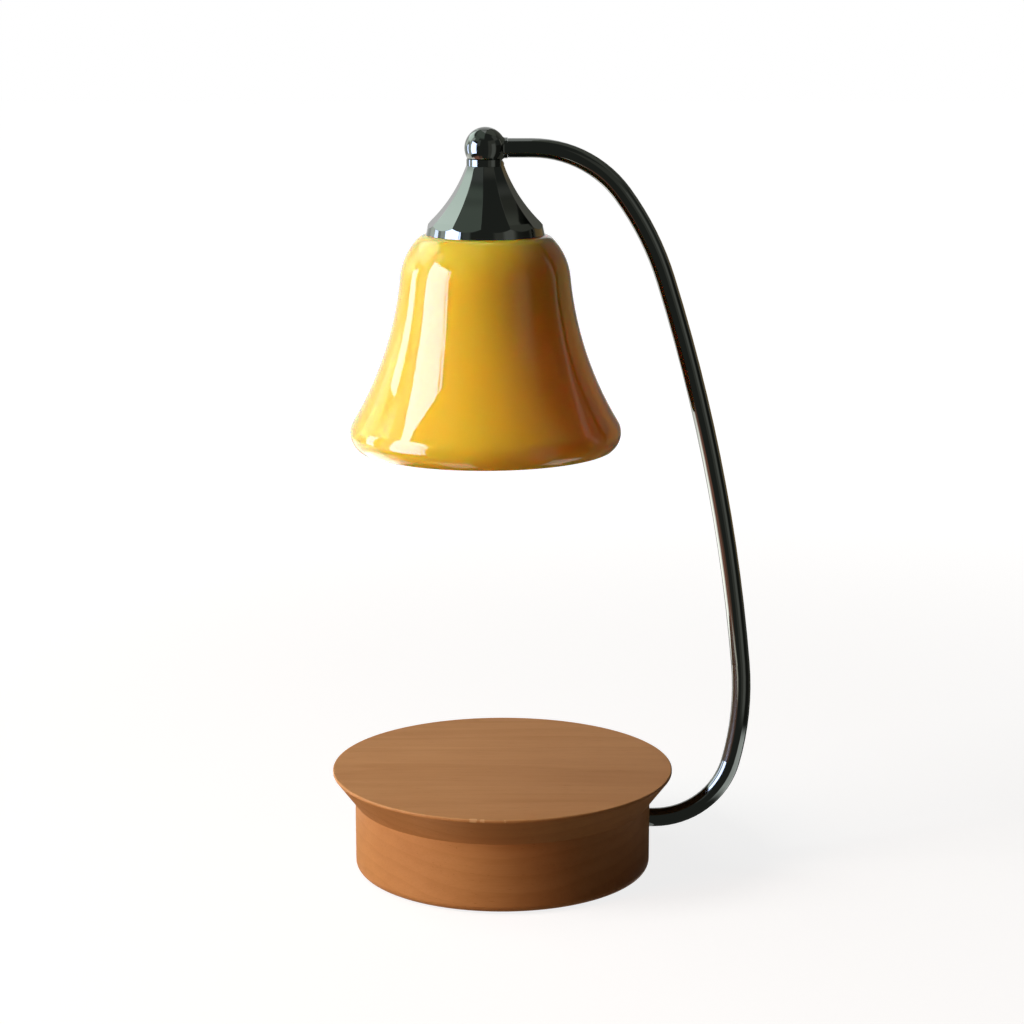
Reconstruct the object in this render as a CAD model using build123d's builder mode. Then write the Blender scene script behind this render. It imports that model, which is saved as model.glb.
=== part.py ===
from build123d import *

import os
from math import acos, cos, degrees, radians, sin, sqrt

# Candle warmer lamp. A halogen bulb in a glass bell shade hangs over a turned wood base,
# where the candle stands. A bent steel arm rises from the side of the base and ends in a
# hollow ball, on which the head turns and tilts.
#
# Units are millimetres. +Z is up and the origin is the middle of the face that the lamp
# stands on. The arm lies in the XZ plane, on the +X side. Heights in the head are counted
# from the middle of the ball, so they are negative.

# ---- driving dimensions: base ----
BASE_TOP_RADIUS = 73.0
BASE_BODY_RADIUS = 63.5
BASE_TOP_Z = 44.3
BEVEL_FOOT_Z = 30.6
TOP_LAND_Z = 43.1
TOP_EDGE_ROUND = 0.5
WOOD_FOOT_Z = 0.8
FOOT_ROUND = 3.0
CAVITY_RADIUS = 50.0
CAVITY_TOP_Z = 32.0

PAD_RADIUS = 49.5
PAD_THICKNESS = 1.6
PLATE_RADIUS = 56.0
PLATE_THICKNESS = 2.0
PLATE_TOP_Z = PAD_THICKNESS + PLATE_THICKNESS
PLATE_SCREW_CIRCLE = 53.0

BALLAST_RADIUS = 46.0
BALLAST_THICKNESS = 5.0
BALLAST_EDGE = 0.5
BALLAST_Z = CAVITY_TOP_Z - BALLAST_THICKNESS

# ---- driving dimensions: arm ----
ARM_RADIUS = 4.0
ARM_BORE_RADIUS = 3.0
ARM_Z = 21.1
ARM_INNER_X = 34.0
ARM_BEND_X = 65.5
ARM_BENDS = ((33.9, 75.3), (125.0, 20.2), (785.0, 12.3), (122.8, 18.6), (46.5, 53.6))
WIRE_RADIUS = 0.7
WIRE_OFFSET = 0.8

# ---- driving dimensions: ball swivel ----
HEAD_X = -6.9
BALL_RADIUS = 8.6
BALL_INNER_RADIUS = 7.0
BOSS_RADIUS = 4.3
BOSS_END = 9.2
SPIGOT_RADIUS = 2.95
SPIGOT_LENGTH = 10.0
SPIGOT_BORE = 2.2
BOSS_ROOT_ROUND = 1.2
CAP_RADIUS = 4.2
SEAM_CHAMFER = 0.2
STEM_RADIUS = 3.0
STEM_BORE = 2.0
STEM_FOOT = -20.2
STEM_HEAD_ANGLE = 46.0
STEM_HEAD_THICKNESS = 1.3
FIT = 0.06
TILT_AWAY = 35.0
TILT_TOWARDS = 10.0
SLOT_SPARE_ANGLE = 1.0
SLOT_SPARE = 0.2

# ---- driving dimensions: head, heights from the middle of the ball ----
CUP_RADIUS = 7.8
CUP_RIM = -4.5
CUP_NECK_RADIUS = 5.6
CUP_FOOT = -9.1
CUP_NOTCH_RADIUS = 6.2
CANOPY_TOP = -7.2
CANOPY_SIDES = 12
CANOPY_TURN = -3.8
CANOPY_TOP_APOTHEM = 7.6
CANOPY_SLOPE = -70.4
CANOPY_BEND = (62.1, 24.8)
CANOPY_FLARE = (25.2, -33.9)
CANOPY_FOOT = -35.4
CANOPY_RADIUS = 24.6
CANOPY_TAPER = 12.0
CANOPY_EDGE_ROUND = 0.5
CANOPY_WALL = 1.0
WASHER_RADIUS = 6.6
WASHER_FOOT = -11.2
SPRING_WASHER_RADIUS = 6.2
SHADE_TOP = -35.4
SHADE_HOLE_RADIUS = 14.2
SHADE_FLAT_RADIUS = 23.6
SHADE_WALL = 2.6
SHADE_BENDS = ((6.4, -47.0), (27.0, -37.3), (145.7, 25.4), (8.3, -86.1))
SHADE_RIM_ROUND = 0.9
SHADE_RING_RADIUS = 19.0
SHADE_RING_HEIGHT = 4.5
SHADE_RING_SIDES = 24
HOUSING_TOP = -15.4
HOUSING_TOP_RADIUS = 9.8
HOUSING_RADIUS = 14.6
HOUSING_CONE_FOOT = -24.6
HOUSING_WALL = 0.6
HOUSING_PLATE = 1.5
FLANGE_TOP = -33.0
FLANGE_THICKNESS = 1.2
FLANGE_RADIUS = 20.5
SLEEVE_RADIUS = 14.0
SLEEVE_BORE = 13.0
SLEEVE_FOOT = -44.2
LOWER_GASKET_THICKNESS = 1.0
NUT_FLATS = 10.0
NUT_HEIGHT = 3.0

# ---- driving dimensions: bulb and its holder ----
HOLDER_TOP = -17.0
HOLDER_TOP_RADIUS = 8.8
HOLDER_RADIUS = 12.0
HOLDER_FACE = -32.5
HOLDER_RECESS = (5.9, -23.4)
HOLDER_SCREW_Y = 7.3
HOLDER_SCREW_RADIUS = 1.25
HOLDER_SCREW_HEAD = (2.3, 1.6)
HOLDER_SCREW_SEAT = -29.5
HOLDER_SCREW_TIP = -14.4
CONTACT_THICKNESS = 0.8
HEAD_WIRE_ROUND = 0.9
WIRE_BEND_HEIGHTS = (-22.6, -21.2)
WIRE_END = -6.6
PIN_CIRCLE = 5.0
PIN_HEAD_RADIUS = 2.4
PIN_SHANK_RADIUS = 1.5
PIN_TOP = -25.7
PIN_HEAD_HEIGHT = 3.0
PIN_SPARE = 0.3
BULB_TWIST = 25.0
BULB_RADIUS = 25.0
BULB_NECK_RADIUS = 9.0
BULB_CURVE = 16.0
BULB_WALL = 1.5
BULB_CAP_TOP = -32.7
BULB_CAP_FOOT = -43.5
BULB_CAP_SIZE = (19.0, 12.5)
BULB_CAP_ROUND = 4.0
BULB_CURVE_TOP = -42.0
BULB_RIM = -76.0
BULB_LENS_TOP = -77.3
BULB_FRONT = -79.5
CAPSULE_NECK_RADIUS = 4.5
CAPSULE_NECK_FOOT = -48.0
CAPSULE_SHOULDER = -50.0
CAPSULE_RADIUS = 5.5
CAPSULE_DOME_TOP = -61.0


# ---- helpers ----
def tangent_arcs(point, direction, bends):
    """Lay arcs end to end, each tangent to the one before; a bend is (radius, degrees)."""
    for radius, turn in bends:
        arc = JernArc(point, direction, radius, turn)
        point = arc @ 1
        direction = arc % 1
    return point


def ring(plane, inner, outer, height):
    """Flat ring that stands on a plane."""
    with BuildPart() as flat_ring:
        with BuildSketch(plane):
            Circle(outer)
            Circle(inner, mode=Mode.SUBTRACT)
        extrude(amount=height)
    return flat_ring


def screws(spots, seat_z, head, shank_radius, tip_z):
    """Group of cross-head screws driven upwards; a head is (radius, height), below its seat."""
    head_radius, head_height = head
    recess_depth = 0.6 * head_height
    recess_length = 1.1 * head_radius
    recess_width = 0.26 * head_radius
    with BuildPart() as group:
        with BuildSketch(Plane.XY.offset(seat_z)):
            with Locations(*spots):
                Circle(head_radius)
        extrude(amount=-head_height)
        chamfer(group.edges().group_by(Axis.Z)[0], length=0.3 * head_height)
        with BuildSketch(Plane.XY.offset(seat_z)):
            with Locations(*spots):
                Circle(shank_radius)
        extrude(amount=tip_z - seat_z)
        with BuildSketch(Plane.XY.offset(seat_z - head_height)):
            with Locations(*spots):
                Rectangle(recess_length, recess_width)
                Rectangle(recess_width, recess_length)
        extrude(amount=recess_depth, mode=Mode.SUBTRACT)
    return group


def cut_upwards(spots, radius, bottom, top):
    """Cut round holes through the part that is being built."""
    with BuildSketch(Plane.XY.offset(bottom)) as holes:
        with Locations(*spots):
            Circle(radius)
    extrude(holes.sketch, amount=top - bottom, mode=Mode.SUBTRACT)


# ---- base ----
PLATE_SCREW_SPOTS = [
    (PLATE_SCREW_CIRCLE * cos(radians(a)), PLATE_SCREW_CIRCLE * sin(radians(a)))
    for a in (45, 135, 225, 315)
]
PLATE_SCREW_RADIUS = 1.5
PLATE_SCREW_HEAD = (3.0, 1.2)
PLATE_SCREW_TIP_Z = 14.0
BALLAST_SCREW_SPOTS = [(24.0, 24.0), (-34.0, 0.0), (24.0, -24.0)]
BALLAST_SCREW_RADIUS = 1.75
BALLAST_SCREW_HEAD = (3.4, 2.2)
WOOD_SCREW_TIP_Z = 39.0
BLOCK_CORNER = 1.5
CLAMP_X = 38.0
CLAMP_SIZE = (12.0, 22.0, 12.5)
CLAMP_SCREW_SPOTS = [(CLAMP_X, -8.0), (CLAMP_X, 8.0)]
GRUB_RADIUS = 2.0
GRUB_LENGTH = 4.2
GRUB_KEY_RADIUS = 1.1
CORD_Z = 16.0
CORD_BORE_RADIUS = 3.2
BUSH_RADIUS = 5.5
BUSH_FLANGE_RADIUS = 7.5
BUSH_FLANGE_THICKNESS = 2.3
BUSH_FLANGE_ROUND = 0.8
BUSH_LIP_RADIUS = 6.2
BUSH_LIP_LENGTH = 1.5
BUSH_SEAT_Y = 62.9
BUSH_INNER_Y = 47.0
SPOTFACE_SPARE = 0.3
ANCHOR_Y = 33.0
ANCHOR_SIZE = (22.0, 8.0)
ANCHOR_FOOT_Z = 19.4
STRAP_Z = 10.4
STRAP_THICKNESS = 2.2
STRAP_SCREW_SPOTS = [(-8.0, ANCHOR_Y), (8.0, ANCHOR_Y)]
SMALL_SCREW_RADIUS = 1.5
SMALL_SCREW_HEAD = (2.8, 2.0)
SMALL_SCREW_TIP_Z = 31.0
TERMINAL_X = 14.0
TERMINAL_SIZE = (16.0, 20.0, 12.0)
TERMINAL_Z = BALLAST_Z - TERMINAL_SIZE[2]
TERMINAL_WAY_Y = 5.0
TERMINAL_WAY_Z = 20.0
INSERT_RADIUS = 2.6
INSERT_BORE = 1.3
INSERT_LENGTH = 12.0
TERMINAL_SCREW_SPOTS = [
    (TERMINAL_X + x, y) for x in (-3.5, 3.5) for y in (-TERMINAL_WAY_Y, TERMINAL_WAY_Y)
]
TERMINAL_SCREW_RADIUS = 1.2
TERMINAL_SCREW_HEAD_HEIGHT = 1.2
TERMINAL_SCREW_SINK = 0.4
WIRE_SPREAD_ROUND = 2.5
WIRE_SPREAD_RUN = 1.5

with BuildPart() as wood_base:
    with BuildSketch(Plane.XZ) as wood_profile:
        with BuildLine():
            Polyline(
                (0, CAVITY_TOP_Z),
                (0, BASE_TOP_Z),
                (BASE_TOP_RADIUS, BASE_TOP_Z),
                (BASE_TOP_RADIUS, TOP_LAND_Z),
                (BASE_BODY_RADIUS, BEVEL_FOOT_Z),
                (BASE_BODY_RADIUS, WOOD_FOOT_Z),
                (PLATE_RADIUS, WOOD_FOOT_Z),
                (PLATE_RADIUS, PLATE_TOP_Z),
                (CAVITY_RADIUS, PLATE_TOP_Z),
                (CAVITY_RADIUS, CAVITY_TOP_Z),
                close=True,
            )
        make_face()
        land_corners = wood_profile.vertices().group_by(Axis.X)[-1]
        fillet(land_corners, radius=TOP_EDGE_ROUND)
        foot_corner = wood_profile.vertices().group_by(Axis.Y)[0].sort_by(Axis.X)[-1]
        fillet(foot_corner, radius=FOOT_ROUND)
    revolve(axis=Axis.Z)
    with BuildSketch(Plane.YZ):
        with Locations((0, ARM_Z)):
            Circle(ARM_RADIUS)
    extrude(amount=BASE_TOP_RADIUS, mode=Mode.SUBTRACT)
    with BuildSketch(Plane.XZ.offset(-BASE_TOP_RADIUS)):
        with Locations((0, CORD_Z)):
            Circle(BUSH_RADIUS)
    extrude(amount=CAVITY_RADIUS / 2, mode=Mode.SUBTRACT)
    with BuildSketch(Plane.XZ.offset(-BASE_TOP_RADIUS)):
        with Locations((0, CORD_Z)):
            Circle(BUSH_FLANGE_RADIUS + SPOTFACE_SPARE)
    extrude(amount=BASE_TOP_RADIUS - BUSH_SEAT_Y, mode=Mode.SUBTRACT)
    cut_upwards(PLATE_SCREW_SPOTS, PLATE_SCREW_RADIUS, PLATE_TOP_Z, PLATE_SCREW_TIP_Z)
    cut_upwards(
        BALLAST_SCREW_SPOTS + CLAMP_SCREW_SPOTS,
        BALLAST_SCREW_RADIUS,
        CAVITY_TOP_Z,
        WOOD_SCREW_TIP_Z,
    )

with BuildPart() as foot_pad:
    with BuildSketch(Plane.XY):
        Circle(PAD_RADIUS)
    extrude(amount=PAD_THICKNESS)

with BuildPart() as bottom_plate:
    with BuildSketch(Plane.XY.offset(PAD_THICKNESS)):
        Circle(PLATE_RADIUS - FIT)
        with Locations(*PLATE_SCREW_SPOTS):
            Circle(PLATE_SCREW_RADIUS, mode=Mode.SUBTRACT)
    extrude(amount=PLATE_THICKNESS)

bottom_screws = screws(
    PLATE_SCREW_SPOTS, PAD_THICKNESS, PLATE_SCREW_HEAD, PLATE_SCREW_RADIUS, PLATE_SCREW_TIP_Z
)

with BuildPart() as ballast_plate:
    with BuildSketch(Plane.XY.offset(BALLAST_Z)):
        Circle(BALLAST_RADIUS)
    extrude(amount=BALLAST_THICKNESS)
    chamfer(ballast_plate.edges(), length=BALLAST_EDGE)
    cut_upwards(
        BALLAST_SCREW_SPOTS + CLAMP_SCREW_SPOTS,
        BALLAST_SCREW_RADIUS,
        BALLAST_Z,
        CAVITY_TOP_Z,
    )
    cut_upwards(
        STRAP_SCREW_SPOTS + [(TERMINAL_X, 0)], SMALL_SCREW_RADIUS, BALLAST_Z, CAVITY_TOP_Z
    )

ballast_screws = screws(
    BALLAST_SCREW_SPOTS, BALLAST_Z, BALLAST_SCREW_HEAD, BALLAST_SCREW_RADIUS, WOOD_SCREW_TIP_Z
)

with BuildPart() as arm_clamp:
    with BuildSketch(Plane.XY.offset(BALLAST_Z)):
        with Locations((CLAMP_X, 0)):
            RectangleRounded(CLAMP_SIZE[0], CLAMP_SIZE[1], radius=BLOCK_CORNER)
    extrude(amount=-CLAMP_SIZE[2])
    with BuildSketch(Plane.YZ.offset(CLAMP_X - CLAMP_SIZE[0])):
        with Locations((0, ARM_Z)):
            Circle(ARM_RADIUS)
    extrude(amount=2 * CLAMP_SIZE[0], mode=Mode.SUBTRACT)
    cut_upwards(
        CLAMP_SCREW_SPOTS, BALLAST_SCREW_RADIUS, BALLAST_Z - CLAMP_SIZE[2], BALLAST_Z
    )
    cut_upwards([(CLAMP_X, 0)], GRUB_RADIUS, BALLAST_Z - CLAMP_SIZE[2], ARM_Z)

arm_clamp_screws = screws(
    CLAMP_SCREW_SPOTS,
    BALLAST_Z - CLAMP_SIZE[2],
    BALLAST_SCREW_HEAD,
    BALLAST_SCREW_RADIUS,
    WOOD_SCREW_TIP_Z,
)

with BuildPart() as arm_grub_screw:
    with BuildSketch(Plane.XY.offset(ARM_Z - ARM_RADIUS - GRUB_LENGTH)):
        with Locations((CLAMP_X, 0)):
            Circle(GRUB_RADIUS)
    extrude(amount=GRUB_LENGTH)
    with BuildSketch(Plane.XY.offset(ARM_Z - ARM_RADIUS - GRUB_LENGTH)):
        with Locations((CLAMP_X, 0)):
            RegularPolygon(GRUB_KEY_RADIUS, 6)
    extrude(amount=GRUB_LENGTH / 2, mode=Mode.SUBTRACT)

# The bush stands in the back of the base, where the cord comes in.
with BuildPart() as cord_bush:
    with BuildSketch(Plane.XZ.offset(-BUSH_SEAT_Y - BUSH_FLANGE_THICKNESS)):
        with Locations((0, CORD_Z)):
            Circle(BUSH_FLANGE_RADIUS)
    extrude(amount=BUSH_FLANGE_THICKNESS)
    fillet(cord_bush.edges().group_by(Axis.Y)[-1], radius=BUSH_FLANGE_ROUND)
    with BuildSketch(Plane.XZ.offset(-BUSH_SEAT_Y)):
        with Locations((0, CORD_Z)):
            Circle(BUSH_RADIUS)
    extrude(amount=BUSH_SEAT_Y - BUSH_INNER_Y)
    with BuildSketch(Plane.XZ.offset(-BUSH_INNER_Y)):
        with Locations((0, CORD_Z)):
            Circle(BUSH_LIP_RADIUS)
    extrude(amount=-BUSH_LIP_LENGTH)
    with BuildSketch(Plane.XZ.offset(-BASE_TOP_RADIUS)):
        with Locations((0, CORD_Z)):
            Circle(CORD_BORE_RADIUS)
    extrude(amount=CAVITY_RADIUS, mode=Mode.SUBTRACT)

with BuildPart() as cord_anchor:
    with BuildSketch(Plane.XY.offset(ANCHOR_FOOT_Z)):
        with Locations((0, ANCHOR_Y)):
            RectangleRounded(ANCHOR_SIZE[0], ANCHOR_SIZE[1], radius=BLOCK_CORNER)
    extrude(amount=BALLAST_Z - ANCHOR_FOOT_Z)
    cut_upwards(STRAP_SCREW_SPOTS, SMALL_SCREW_RADIUS, ANCHOR_FOOT_Z, BALLAST_Z)

with BuildPart() as cord_strap:
    with BuildSketch(Plane.XY.offset(STRAP_Z)):
        with Locations((0, ANCHOR_Y)):
            RectangleRounded(ANCHOR_SIZE[0], ANCHOR_SIZE[1], radius=BLOCK_CORNER)
    extrude(amount=STRAP_THICKNESS)
    cut_upwards(STRAP_SCREW_SPOTS, SMALL_SCREW_RADIUS, STRAP_Z, STRAP_Z + STRAP_THICKNESS)

cord_strap_screws = screws(
    STRAP_SCREW_SPOTS, STRAP_Z, SMALL_SCREW_HEAD, SMALL_SCREW_RADIUS, SMALL_SCREW_TIP_Z
)

with BuildPart() as terminal_block:
    with BuildSketch(Plane.XY.offset(TERMINAL_Z)):
        with Locations((TERMINAL_X, 0)):
            RectangleRounded(TERMINAL_SIZE[0], TERMINAL_SIZE[1], radius=BLOCK_CORNER)
    extrude(amount=TERMINAL_SIZE[2])
    with BuildSketch(Plane.YZ.offset(TERMINAL_X - TERMINAL_SIZE[0])):
        with Locations((-TERMINAL_WAY_Y, TERMINAL_WAY_Z), (TERMINAL_WAY_Y, TERMINAL_WAY_Z)):
            Circle(INSERT_RADIUS)
    extrude(amount=2 * TERMINAL_SIZE[0], mode=Mode.SUBTRACT)
    cut_upwards(TERMINAL_SCREW_SPOTS, TERMINAL_SCREW_RADIUS, TERMINAL_Z, TERMINAL_WAY_Z)
    cut_upwards([(TERMINAL_X, 0)], SMALL_SCREW_RADIUS, TERMINAL_Z, BALLAST_Z)

with BuildPart() as terminal_inserts:
    with BuildSketch(Plane.YZ.offset(TERMINAL_X - INSERT_LENGTH / 2)):
        with Locations((-TERMINAL_WAY_Y, TERMINAL_WAY_Z), (TERMINAL_WAY_Y, TERMINAL_WAY_Z)):
            Circle(INSERT_RADIUS)
            Circle(INSERT_BORE, mode=Mode.SUBTRACT)
    extrude(amount=INSERT_LENGTH)
    cut_upwards(TERMINAL_SCREW_SPOTS, TERMINAL_SCREW_RADIUS, TERMINAL_Z, TERMINAL_WAY_Z)

terminal_screws = screws(
    TERMINAL_SCREW_SPOTS,
    TERMINAL_Z + TERMINAL_SCREW_SINK + TERMINAL_SCREW_HEAD_HEIGHT,
    (TERMINAL_SCREW_RADIUS, TERMINAL_SCREW_HEAD_HEIGHT),
    TERMINAL_SCREW_RADIUS,
    TERMINAL_WAY_Z - INSERT_BORE,
)

terminal_fixing_screw = screws(
    [(TERMINAL_X, 0)], TERMINAL_Z, SMALL_SCREW_HEAD, SMALL_SCREW_RADIUS, SMALL_SCREW_TIP_Z
)

# ---- arm ----
with BuildPart() as arm_tube:
    with BuildLine(Plane.XZ) as arm_path:
        run_in = Line((ARM_INNER_X, ARM_Z), (ARM_BEND_X, ARM_Z))
        arm_top = tangent_arcs(run_in @ 1, run_in % 1, ARM_BENDS)
        Line(arm_top, Vector(HEAD_X + BOSS_END + FIT, 0, arm_top.Z))
    with BuildSketch(Plane.YZ.offset(ARM_INNER_X)):
        with Locations((0, ARM_Z)):
            Circle(ARM_RADIUS)
            Circle(ARM_BORE_RADIUS, mode=Mode.SUBTRACT)
    sweep(path=arm_path.wires()[0])

BALL_Z = arm_top.Z
BALL_CENTRE = Vector(HEAD_X, 0, BALL_Z)
print("middle of the ball", BALL_CENTRE)
HEAD_FRONT = Plane(origin=BALL_CENTRE, x_dir=(1, 0, 0), z_dir=(0, -1, 0))
HEAD_SIDE = Plane(origin=BALL_CENTRE, x_dir=(0, 1, 0), z_dir=(1, 0, 0))
HEAD_AXIS = Axis(BALL_CENTRE, (0, 0, 1))


def head_level(height):
    """Horizontal plane on the head's axis, at a height from the middle of the ball."""
    return Plane(origin=BALL_CENTRE + Vector(0, 0, height))


def bowl_arc(radius, inner, outer):
    """Arc about the middle of the ball, below it, between two distances from the axis."""
    first = -degrees(acos(inner / radius))
    last = -degrees(acos(outer / radius))
    return CenterArc((0, 0), radius, first, last - first)


def hex_nut(height):
    """Thin nut on the stem, with its lower face at a height."""
    with BuildPart() as nut:
        with BuildSketch(head_level(height)):
            RegularPolygon(NUT_FLATS / 2, 6, major_radius=False)
            Circle(STEM_RADIUS, mode=Mode.SUBTRACT)
        extrude(amount=NUT_HEIGHT)
    return nut


def faceted_dome(foot, inset):
    """Dome with flat sides across and a hollow curve down, shrunk all round by an inset.

    A cone with its point far above trims the sides to a round rim.
    """
    with BuildPart() as dome:
        with BuildSketch(head_level(foot)):
            Circle(CANOPY_RADIUS - inset)
        extrude(amount=CANOPY_TOP - foot, taper=CANOPY_TAPER)
        for number in range(CANOPY_SIDES // 2):
            angle = radians((number + 0.5) * 360 / CANOPY_SIDES + CANOPY_TURN)
            across = Vector(cos(angle), sin(angle), 0)
            along = Vector(sin(angle), -cos(angle), 0)
            with BuildSketch(Plane(origin=BALL_CENTRE, x_dir=across, z_dir=along)):
                with BuildLine():
                    slope = (cos(radians(CANOPY_SLOPE)), sin(radians(CANOPY_SLOPE)))
                    hollow = JernArc((CANOPY_TOP_APOTHEM, CANOPY_TOP), slope, *CANOPY_BEND)
                    Polyline(
                        hollow @ 1,
                        CANOPY_FLARE,
                        (CANOPY_FLARE[0], foot - inset),
                        (0, foot - inset),
                        (0, CANOPY_TOP),
                        hollow @ 0,
                    )
                make_face()
                mirror(about=Plane.YZ)
                if inset > 0:
                    offset(amount=-inset)
            extrude(amount=2 * CANOPY_RADIUS, both=True, mode=Mode.INTERSECT)
    return dome.part


PIN_ARCS = [CenterArc((0, 0), PIN_CIRCLE, start, BULB_TWIST) for start in (0, 180)]


def pin_tracks(width):
    """Two curved slots, along which the bulb's pins turn in the holder."""
    for arc in PIN_ARCS:
        SlotArc(arc, width)


def head_wire(side):
    """One insulated wire from a contact of the holder up through the stem."""
    with BuildPart() as wire:
        with BuildLine(HEAD_FRONT) as route:
            FilletPolyline(
                (side * PIN_CIRCLE, PIN_TOP + SLOT_SPARE + CONTACT_THICKNESS),
                (side * PIN_CIRCLE, WIRE_BEND_HEIGHTS[0]),
                (side * WIRE_OFFSET, WIRE_BEND_HEIGHTS[1]),
                (side * WIRE_OFFSET, WIRE_END),
                radius=HEAD_WIRE_ROUND,
            )
        with BuildSketch(Plane(origin=route.line @ 0, z_dir=route.line % 0)):
            Circle(WIRE_RADIUS)
        sweep(path=route.wires()[0])
    return wire.part


def bulb_curve(top, foot, inset):
    """Points of the reflector's curve, whose radius squared grows evenly downwards."""
    points = []
    for share in (0.0, 0.2, 0.4, 0.6, 0.8, 1.0):
        height = top + (foot - top) * share
        radius = sqrt(BULB_NECK_RADIUS**2 + BULB_CURVE * (BULB_CURVE_TOP - height))
        points.append((radius - inset, height))
    return points


def arm_wire(side):
    """One insulated wire from the terminal block through the arm to the ball."""
    lane = side * WIRE_OFFSET
    way_y = side * TERMINAL_WAY_Y
    way_start_x = TERMINAL_X + INSERT_LENGTH / 2 - WIRE_SPREAD_RUN
    way_end_x = TERMINAL_X + TERMINAL_SIZE[0] / 2 + WIRE_SPREAD_RUN
    with BuildPart() as wire:
        with BuildLine(Plane.XZ.offset(-lane)) as route:
            spread = FilletPolyline(
                Vector(way_start_x, way_y, TERMINAL_WAY_Z),
                Vector(way_end_x, way_y, TERMINAL_WAY_Z),
                Vector(ARM_INNER_X - WIRE_SPREAD_RUN, lane, ARM_Z),
                Vector(ARM_BEND_X, lane, ARM_Z),
                radius=WIRE_SPREAD_ROUND,
            )
            top = tangent_arcs(spread @ 1, Vector(1, 0, 0), ARM_BENDS)
            Line(top, Vector(HEAD_X + BALL_INNER_RADIUS, lane, top.Z))
        with BuildSketch(Plane(origin=route.line @ 0, z_dir=route.line % 0)):
            Circle(WIRE_RADIUS)
        sweep(path=route.wires()[0])
    return wire.part


first_wire = arm_wire(-1)
second_wire = arm_wire(1)
with BuildPart() as arm_wires:
    add([first_wire, second_wire])

# ---- ball swivel ----
# The ball is hollow. The head hangs in it on a stem with a domed head, which slides along
# the slot in the bottom of the ball.
with BuildPart(head_level(0)) as knuckle_ball:
    Sphere(BALL_RADIUS)
    with BuildSketch(HEAD_SIDE):
        Circle(BOSS_RADIUS)
    extrude(amount=BOSS_END)
    boss_root = knuckle_ball.edges().filter_by(Plane.YZ).sort_by(Axis.X)[-2]
    fillet(boss_root, radius=BOSS_ROOT_ROUND)
    with BuildSketch(HEAD_SIDE.offset(BOSS_END)):
        Circle(SPIGOT_RADIUS)
    extrude(amount=SPIGOT_LENGTH)
    Sphere(BALL_INNER_RADIUS, mode=Mode.SUBTRACT)
    with BuildSketch(HEAD_SIDE):
        Circle(SPIGOT_BORE)
    extrude(amount=BOSS_END + SPIGOT_LENGTH, mode=Mode.SUBTRACT)
    with BuildSketch(head_level(0)):
        Circle(CAP_RADIUS)
    extrude(amount=BALL_RADIUS, mode=Mode.SUBTRACT)
    opening_edge = knuckle_ball.edges().filter_by(Plane.XY).sort_by(Axis.Z)[-1]
    chamfer(opening_edge, length=SEAM_CHAMFER)
    with BuildSketch(HEAD_FRONT) as tilt_slot:
        for tilt in (TILT_AWAY + SLOT_SPARE_ANGLE, -TILT_TOWARDS - SLOT_SPARE_ANGLE):
            Rectangle(
                2 * (STEM_RADIUS + SLOT_SPARE),
                BALL_RADIUS + 1,
                rotation=-tilt,
                align=(Align.CENTER, Align.MAX),
            )
        make_hull(tilt_slot.edges())
    extrude(amount=STEM_RADIUS + SLOT_SPARE, both=True, mode=Mode.SUBTRACT)

with BuildPart(head_level(0)) as ball_cap:
    Sphere(BALL_RADIUS)
    Sphere(BALL_INNER_RADIUS, mode=Mode.SUBTRACT)
    with BuildSketch(head_level(0)):
        Circle(CAP_RADIUS)
    extrude(amount=BALL_RADIUS + 1, mode=Mode.INTERSECT)
    cap_edge = ball_cap.edges().filter_by(Plane.XY).sort_by(Axis.Z)[-1]
    chamfer(cap_edge, length=SEAM_CHAMFER)

# The cup is the saddle between the ball and the head. Its notch clears the boss.
with BuildPart() as socket_cup:
    with BuildSketch(HEAD_FRONT):
        with BuildLine():
            seat_rim = sqrt((BALL_RADIUS + FIT) ** 2 - CUP_RIM**2)
            seat = bowl_arc(BALL_RADIUS + FIT, STEM_RADIUS + FIT, seat_rim)
            Polyline(
                seat @ 1,
                (CUP_RADIUS, CUP_RIM),
                (CUP_RADIUS, CANOPY_TOP),
                (CUP_NECK_RADIUS, CANOPY_TOP),
                (CUP_NECK_RADIUS, CUP_FOOT),
                (STEM_RADIUS + FIT, CUP_FOOT),
                seat @ 0,
            )
        make_face()
    revolve(axis=HEAD_AXIS)
    with BuildSketch(HEAD_SIDE.offset(BOSS_RADIUS)):
        Circle(CUP_NOTCH_RADIUS)
    extrude(amount=CUP_RADIUS, mode=Mode.SUBTRACT)

with BuildPart() as swivel_stem:
    with BuildSketch(HEAD_FRONT):
        with BuildLine():
            outer_bowl = BALL_INNER_RADIUS - FIT
            inner_bowl = outer_bowl - STEM_HEAD_THICKNESS
            edge_share = sin(radians(STEM_HEAD_ANGLE))
            under = bowl_arc(outer_bowl, STEM_RADIUS, outer_bowl * edge_share)
            over = bowl_arc(inner_bowl, STEM_BORE, inner_bowl * edge_share)
            Line(over @ 1, under @ 1)
            Polyline(under @ 0, (STEM_RADIUS, STEM_FOOT), (STEM_BORE, STEM_FOOT), over @ 0)
        make_face()
    revolve(axis=HEAD_AXIS)

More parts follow.
